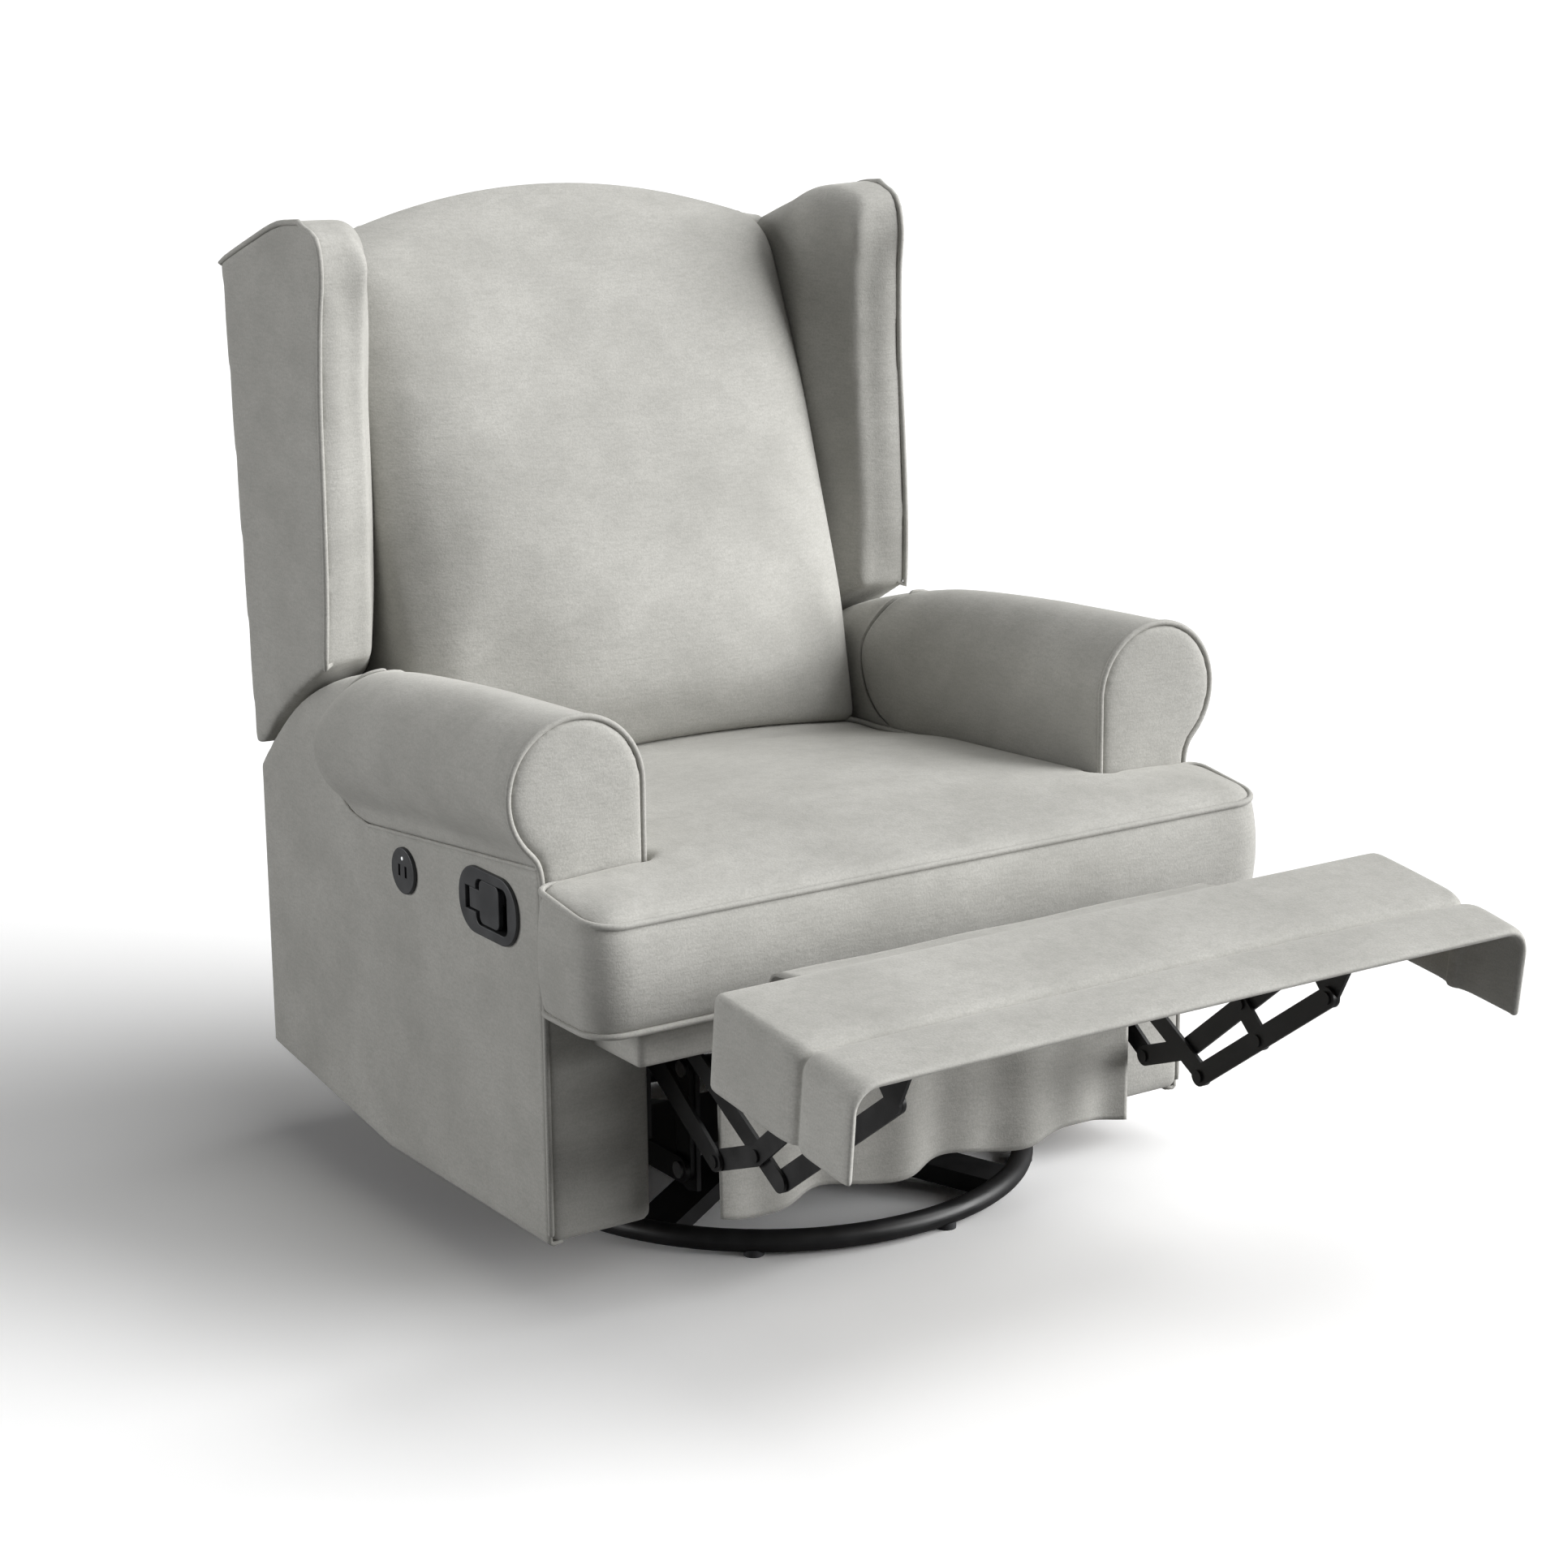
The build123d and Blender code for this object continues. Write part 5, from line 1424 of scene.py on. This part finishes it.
            past = np.clip(row[:, 1] - (s.rear - corner), 0.0, corner)
            row[:, 0] = np.minimum(row[:, 0], s.outer - corner + np.sqrt(corner**2 - past**2))
            rows.append(row)
        shoulder = grid(f"{self.side}_shoulder", np.array([self.tucked(rows[0], -0.5 * s.groove)] + rows))
        face_outward(shoulder, (self.middle, 0.3, 0.40))
        joined = bmesh.new()
        joined.from_mesh(piece.data)
        joined.from_mesh(shoulder.data)
        bpy.data.objects.remove(shoulder)
        bmesh.ops.remove_doubles(joined, verts=joined.verts, dist=s.merge)
        joined.to_mesh(piece.data)
        joined.free()
        piece.data.shade_smooth()
        thicken(piece, s.cover)
        bake(piece)
        if self.side == "right":
            self.cut_side(piece)
        self.finish(piece, (f"{self.side}_side_panel", f"{self.side}_arm_rear"))

    def foot(self, y: float) -> float:
        """Gives the height of the side's lower edge at a place along the arm."""
        s = self.sizes
        return float(np.interp(y, (s.kick, s.rear), (s.bottom, s.rear_bottom)))

    def cut_side(self, piece: bpy.types.Object) -> None:
        """Cuts the places of the pull handle and the charging socket.

        Args:
            piece: side cover, still on the left.
        """
        s = self.sizes
        handle = rounded([(*corner, s.handle_corner) for corner in s.handle], 8)
        turn = np.radians(np.linspace(0.0, 360.0, 32, endpoint=False))
        socket = s.socket_radius * np.column_stack((np.cos(turn), np.sin(turn))) + s.socket
        for outline in (handle, socket):
            cutter = block("cutter", outline, s.outer - 0.025, s.outer + 0.035, Facing.SIDE)
            modifier = piece.modifiers.new("cut", "BOOLEAN")
            modifier.operation = "DIFFERENCE"
            modifier.object = cutter
            bake(piece)
            bpy.data.objects.remove(cutter)

    def front_outline(self) -> np.ndarray:
        """Gives the keyhole outline of the arm's front, from the inner foot round to the outer foot.

        Returns:
            Points as (x, z).
        """
        s = self.sizes
        centre = s.front_crown - s.roll_radius
        angles = np.radians(np.linspace(180.0, -42.0, 44))
        arc = s.roll_radius * np.column_stack((np.cos(angles), np.sin(angles))) + (s.roll_x, centre)
        neck = spline((tuple(arc[-1]), (s.outer + 0.0045, centre - 0.0645), (s.outer, centre - 0.085),
                       (s.outer, 0.40)), 14)
        feet = rounded(((s.outer, s.bottom, 0.010), (s.inner, s.bottom, 0.010), (s.inner, 0.30, 0.0),
                        (s.outer, 0.30, 0.0)), 5)[:12]
        return np.vstack((arc, neck[1:], feet))

    def build_front(self) -> None:
        """Makes the padded keyhole front and its piping."""
        s = self.sizes
        outline = self.front_outline()
        foot = outline[:, 1] < s.bottom + 0.012
        drawn = np.where(foot[:, None], outline, inset(outline, s.front_inset))
        panel = block(f"{self.side}_arm_front_cover", drawn, -s.front - s.board, -s.front, Facing.FRONT,
                      high_round=s.front_round)
        remesh(panel, s.front_voxel)
        places = read_places(panel)
        depth = edge_distance(places[:, (0, 2)], outline)
        face = places[:, 1] < s.front + s.front_round
        places[face, 1] -= s.front_puff * ease(depth[face] / s.front_reach)
        write_places(panel, places)
        relax(panel, 2)
        subdivide(panel)
        self.finish(panel, (f"{self.side}_arm_front",))
        foot = outline[outline[:, 1] > s.bottom + 0.004]
        path = even(np.vstack((((s.inner, s.bead_start),), foot[:np.argmin(foot[:, 1]) + 1])), 150)
        drawn = inset(path, s.bead_inset)
        line = np.column_stack((drawn[:, 0], np.full(len(path), s.front + s.bead_back), drawn[:, 1]))[1:-1]
        tail = line[-1] + s.bead_tail
        self.finish(piping(f"{self.side}_arm_front_piping", np.vstack((line, tail)), s.bead))

    def build_inner(self) -> None:
        """Makes the inner panel under the roll."""
        s = self.sizes
        panel = block(f"{self.side}_inner_panel_cover", rounded(s.panel), s.inner, s.inner + s.panel_thick,
                      Facing.SIDE, low_round=s.panel_round)
        self.finish(panel, (f"{self.side}_inner_panel",))

    def build(self) -> None:
        """Makes the whole arm."""
        self.build_front()
        self.build_roll()
        self.build_side()
        self.build_inner()


@dataclass(frozen=True)
class FootrestSizes:
    """Sizes of the footrest cover in metres."""

    near_y: float = -0.520
    near_z: float = 0.412
    slope: float = math.radians(6.45)
    length: float = 0.2275
    half: float = 0.404
    skirt: float = 0.097
    near_corner: float = 0.008
    far_corner: float = 0.028
    near_edge: tuple = ((0.012, 0.010), (0.004, 0.012), (0.0, 0.007), (0.003, 0.002))
    far_edge: tuple = ((0.003, 0.0012, 0.001), (0.0, 0.004, 0.0))
    seam: float = 0.1415
    seam_depth: float = 0.0040
    seam_half: float = 0.0030
    seam_hollow: float = 0.0045
    hollow_half: float = 0.012
    puff: float = 0.0045
    cover: float = 0.008
    flap_half: float = 0.264
    flap_run: tuple = ((-0.526, 0.4055), (-0.490, 0.3900), (-0.455, 0.3795), (-0.425, 0.3745),
                       (-0.411, 0.3725), (-0.403, 0.3620), (-0.399, 0.3360))
    flap_ripple: float = 0.0008
    flap_thick: float = 0.0025


class Footrest:
    """Footrest cover with side skirts and a cross seam, and the cloth behind it."""

    def __init__(self, wardrobe: Wardrobe, sizes: FootrestSizes = FootrestSizes()) -> None:
        """Keeps what the footrest is made from: the chair's finishes and its own sizes."""
        self.wardrobe = wardrobe
        self.sizes = sizes

    def place(self, across: float, forward: float, up: float) -> tuple[float, float, float]:
        """Turns a place on the footrest into the row frame.

        Args:
            across: distance to the sitter's left.
            forward: distance from the near edge.
            up: distance above the top face.

        Returns:
            x, y, z.
        """
        s = self.sizes
        cos, sin = math.cos(s.slope), math.sin(s.slope)
        return across, s.near_y - forward * cos - up * sin, s.near_z - forward * sin + up * cos

    def section(self, forward: float, drop: float, puff: float) -> list[tuple[float, float, float]]:
        """Runs once round the cover, from one skirt's foot over the top to the other's.

        Args:
            forward: distance from the near edge.
            drop: how far the whole line is drawn in.
            puff: height of the top's crown.

        Returns:
            Points of the line.
        """
        s = self.sizes
        share = forward / s.length
        corner = s.near_corner + (s.far_corner - s.near_corner) * max(0.0, share) ** 2
        half = s.half - drop
        turn = np.linspace(0.0, math.pi / 2, 8)
        skirt = [(half, -z) for z in np.linspace(s.skirt, corner + drop, 12)]
        bend = [(half - corner * (1 - math.cos(a)), -drop - corner * (1 - math.sin(a))) for a in turn[1:]]
        flat = np.linspace(half - corner, -(half - corner), 46)[1:-1]
        top = [(x, -drop + puff * (1.0 - abs(x / (half - corner)) ** 3)) for x in flat]
        right = skirt + bend
        line = right + top + [(-x, z) for x, z in reversed(right)]
        return [self.place(x, forward, z) for x, z in line]

    def build_cover(self) -> None:
        """Makes the padded cover."""
        s = self.sizes
        rows = []
        for forward, drop in s.near_edge:
            rows.append(self.section(forward, drop, 0.0))
        stations = np.concatenate((np.linspace(0.012, s.seam - 0.012, 14), s.seam + np.array(
                                    (-0.008, -0.005, -0.0025, -0.001, 0.001, 0.0025, 0.005, 0.008)),
                                   np.linspace(s.seam + 0.012, s.length - 0.010, 9)))
        for forward in stations:
            gap = abs(forward - s.seam)
            drop = s.seam_depth * math.exp(-(gap / s.seam_half) ** 2)
            drop += s.seam_hollow * math.exp(-(gap / s.hollow_half) ** 2)
            span = (forward / s.seam) if forward < s.seam else (s.length - forward) / (s.length - s.seam)
            puff = s.puff * math.sqrt(max(0.0, math.sin(math.pi * min(1.0, max(0.0, span)))))
            rows.append(self.section(forward, drop, puff))
        for short, drop, puff in s.far_edge:
            rows.append(self.section(s.length - short, drop, puff))
        piece = grid("footrest_cover", np.array(rows))
        face_outward(piece, self.place(0.0, 0.11, -0.06))
        thicken(piece, s.cover)
        subdivide(piece)
        self.wardrobe.wear(piece, "footrest", nodes=("footrest_pad",))

    def build_flap(self) -> None:
        """Makes the cloth that runs from the footrest back under the seat."""
        s = self.sizes
        run = spline(s.flap_run, 24)
        across = np.linspace(-s.flap_half, s.flap_half, 40)
        rows = []
        for k, (y, z) in enumerate(run):
            share = k / (len(run) - 1)
            rows.append([(x, y, z - s.flap_ripple * share * math.sin(9.0 * x / s.flap_half)) for x in across])
        piece = grid("footrest_flap_cover", np.array(rows))
        face_outward(piece, (0.0, -0.46, 0.30))
        thicken(piece, s.flap_thick)
        bake(piece)
        piece.data.materials.append(self.wardrobe.slots["upholstery"])
        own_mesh(piece)
        self.wardrobe.wear(piece, "footrest", nodes=("footrest_flap",))

    def build(self) -> None:
        """Makes cover and flap."""
        self.build_cover()
        self.build_flap()


@dataclass(frozen=True)
class SeatFrontSizes:
    """Sizes of the covered rail and the cloth under the seat front, in metres."""

    rail_half: float = 0.357
    return_inner: float = 0.305
    return_end: float = -0.2225
    rail_front: float = -0.315
    rail_thick: float = 0.030
    rail_bottom: float = 0.266
    rail_top: float = 0.302
    rail_corner: float = 0.005
    return_corner: float = 0.002
    rail_round: float = 0.003
    rail_voxel: float = 0.0045
    curtain_half: float = 0.261
    curtain_y: float = -0.3035
    curtain_bottom: float = 0.086
    curtain_thick: float = 0.002
    folds: int = 6
    fold_top: float = 0.0015
    fold_growth: float = 0.0058
    foot_wave: float = 0.005
    tuck: float = 0.0005


class SeatFront:
    """Covered front rail and the curtain that hangs behind it."""

    def __init__(self, wardrobe: Wardrobe, sizes: SeatFrontSizes = SeatFrontSizes()) -> None:
        """Keeps what the seat front is made from: the chair's finishes and its own sizes."""
        self.wardrobe = wardrobe
        self.sizes = sizes

    def build_rail(self) -> None:
        """Makes the covered rail."""
        s = self.sizes
        back = s.rail_front + s.rail_thick
        half = ((s.rail_half, s.rail_front, s.rail_corner), (s.rail_half, s.return_end, s.return_corner),
                (s.return_inner, s.return_end, s.return_corner), (s.return_inner, back, s.return_corner))
        outline = rounded(half + tuple((-x, y, radius) for x, y, radius in reversed(half)), 4)
        rail = block("front_rail_cover", outline, s.rail_bottom, s.rail_top, Facing.TOP,
                     high_round=s.rail_round, low_round=s.rail_round)
        remesh(rail, s.rail_voxel)
        relax(rail, 1)
        self.wardrobe.wear(rail, "carriage", nodes=("front_rail",))

    def build_curtain(self) -> None:
        """Makes the hanging cloth with folds that grow downward."""
        s = self.sizes
        across = np.linspace(-s.curtain_half, s.curtain_half, 160)
        rows = []
        for share in np.linspace(0.0, 1.0, 36):
            phase = across / s.curtain_half * math.pi * s.folds / 2
            deep = s.fold_top + s.fold_growth * share**1.3
            # Two waves of different lengths keep the folds uneven.
            wave = np.sin(phase + 0.35 * np.sin(phase * 0.5 + 1.0)) + 0.35 * np.sin(2.3 * phase + 0.8)
            foot = s.curtain_bottom + s.foot_wave * np.sin(phase * 1.1 + 0.6)
            head = s.rail_bottom - s.tuck
            z = head + share * (foot - head)
            rows.append(np.column_stack((across, s.curtain_y + deep * wave, z)))
        points = np.array(rows)
        piece = grid("front_curtain_cloth", points)
        face_outward(piece, (0.0, 0.0, 0.18))
        thicken(piece, s.curtain_thick)
        bake(piece)
        self.wardrobe.wear(piece, "carriage", nodes=("front_curtain",))

    def build(self) -> None:
        """Makes rail and curtain."""
        self.build_rail()
        self.build_curtain()


@dataclass(frozen=True)
class ChargingSizes:
    """Sizes of the charging socket's light and contacts, in metres; places are (y, z)."""

    light: tuple = (0.068, 0.3985)
    light_radius: float = 0.0021
    light_flat: float = 0.5
    light_proud: float = 0.0003
    contacts: tuple = (("front_contact", 0.061), ("rear_contact", 0.075))
    contact_half: float = 0.0009
    contact_low: float = 0.3803
    contact_high: float = 0.3897
    contact_corner: float = 0.0004
    contact_front: float = 0.006
    contact_rear: float = 0.019


class ChargingPlate:
    """Light and contact tongues of the charging socket."""

    def __init__(self, wardrobe: Wardrobe, sizes: ChargingSizes = ChargingSizes()) -> None:
        """Keeps what the plate is made from: the chair's finishes and its own sizes."""
        self.wardrobe = wardrobe
        self.sizes = sizes

    def build(self) -> None:
        """Makes the light's lens and the two tongues."""
        s = self.sizes
        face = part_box("charging_socket")[0][0]
        shape = bmesh.new()
        bmesh.ops.create_uvsphere(shape, u_segments=20, v_segments=12, radius=s.light_radius)
        ball = shape.verts[:] + shape.edges[:] + shape.faces[:]
        bmesh.ops.bisect_plane(shape, geom=ball, plane_co=(0, 0, 0), plane_no=(1, 0, 0), clear_outer=True)
        place = Matrix.Translation((face + s.light_proud, *s.light))
        flat = Matrix.Diagonal((s.light_flat, 1.0, 1.0, 1.0))
        bmesh.ops.transform(shape, matrix=place @ flat, verts=shape.verts)
        lens = new_object("charging_light", shape)
        self.wardrobe.wear(lens, "carriage", "dark_plastic")
        # The lens finish glows faintly: a painted highlight.
        lens.data.materials[0] = IndicatorLens().build()
        for name, y in s.contacts:
            front, rear, corner = y - s.contact_half, y + s.contact_half, s.contact_corner
            outline = rounded(((front, s.contact_low, corner), (rear, s.contact_low, corner),
                               (rear, s.contact_high, corner), (front, s.contact_high, corner)), 3)
            tongue = block(name, outline, face + s.contact_front, face + s.contact_rear, Facing.SIDE,
                           low_round=0.0003)
            self.wardrobe.wear(tongue, "carriage", "dark_plastic")


@dataclass(frozen=True)
class Studio:
    """Camera, lights and floor of the photograph."""

    place: tuple[float, float, float] = (-2.00834, -3.06116, 1.40365)
    right: tuple[float, float, float] = (0.83197, -0.55475, -0.00856)
    up: tuple[float, float, float] = (0.14948, 0.20927, 0.96637)
    back: tuple[float, float, float] = (-0.5343, -0.80527, 0.25703)
    lens: float = 80.33
    sensor: float = 36.0
    floor_half: float = 60.0
    lamps: tuple = (("key_light", 4.6, 52.0, (-0.745, 0.545, -0.385)),
                    ("top_light", 1.1, 50.0, (-0.35, 0.20, -0.90)),
                    ("fill_light", 2.4, 40.0, (0.86, -0.50, -0.07)))
    surround: float = 0.05
    surround_seen: float = 1.2

    def build_camera(self) -> None:
        """Sets the camera that was fitted to the photograph's edges."""
        data = bpy.data.cameras.new("photo_camera")
        data.sensor_width = self.sensor
        data.lens = self.lens
        camera = bpy.data.objects.new("photo_camera", data)
        axes = Matrix((self.right, self.up, self.back)).transposed().to_4x4()
        camera.matrix_world = Matrix.Translation(self.place) @ axes
        bpy.context.scene.collection.objects.link(camera)
        bpy.context.scene.camera = camera

    def build_light(self) -> None:
        """Lights the chair: a broad key from its left front, a top light and a fill from its right rear."""
        for name, energy, spread, towards in self.lamps:
            data = bpy.data.lights.new(name, "SUN")
            data.energy = energy
            data.angle = math.radians(spread)
            lamp = bpy.data.objects.new(name, data)
            lamp.matrix_world = Vector(towards).to_track_quat("-Z", "Y").to_matrix().to_4x4()
            bpy.context.scene.collection.objects.link(lamp)
        world = bpy.data.worlds.new("white_studio")
        world.use_nodes = True
        tree = world.node_tree
        tree.nodes.clear()
        seen = add_node(tree, "ShaderNodeLightPath").outputs["Is Camera Ray"]
        glow = add_node(tree, "ShaderNodeMapRange", {
            "Value": seen, "To Min": self.surround, "To Max": self.surround_seen})
        shade = add_node(tree, "ShaderNodeBackground", {
            "Color": linear("#FFFFFF"), "Strength": glow.outputs["Result"]})
        add_node(tree, "ShaderNodeOutputWorld", {"Surface": shade.outputs["Background"]})
        bpy.context.scene.world = world

    def build_view(self) -> None:
        """Shows the white surround as plain white."""
        bpy.context.scene.view_settings.view_transform = "Standard"

    def build_floor(self) -> None:
        """Lays the pale floor."""
        shape = bmesh.new()
        bmesh.ops.create_grid(shape, x_segments=4, y_segments=4, size=self.floor_half)
        floor = new_object("studio_floor", shape)
        floor.data.materials.append(StudioFloor().build())


def main() -> None:
    """Builds the recliner's looks in order."""
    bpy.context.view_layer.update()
    studio = Studio()
    studio.build_camera()
    studio.build_light()
    studio.build_view()
    studio.build_floor()
    wardrobe = Wardrobe()
    wardrobe.dress_frame()
    arms = [Arm(wardrobe, side, sign) for side, sign in SIDES]
    for assembly in (SeatCushion(wardrobe), Back(wardrobe), Wings(wardrobe), *arms, Footrest(wardrobe),
                     SeatFront(wardrobe), ChargingPlate(wardrobe)):
        assembly.build()
    for piece in wardrobe.worn:
        LOG.info("%s has %d faces", piece.name, len(piece.data.polygons))


if __name__ == "__main__":
    logging.basicConfig(level=logging.INFO)
    main()
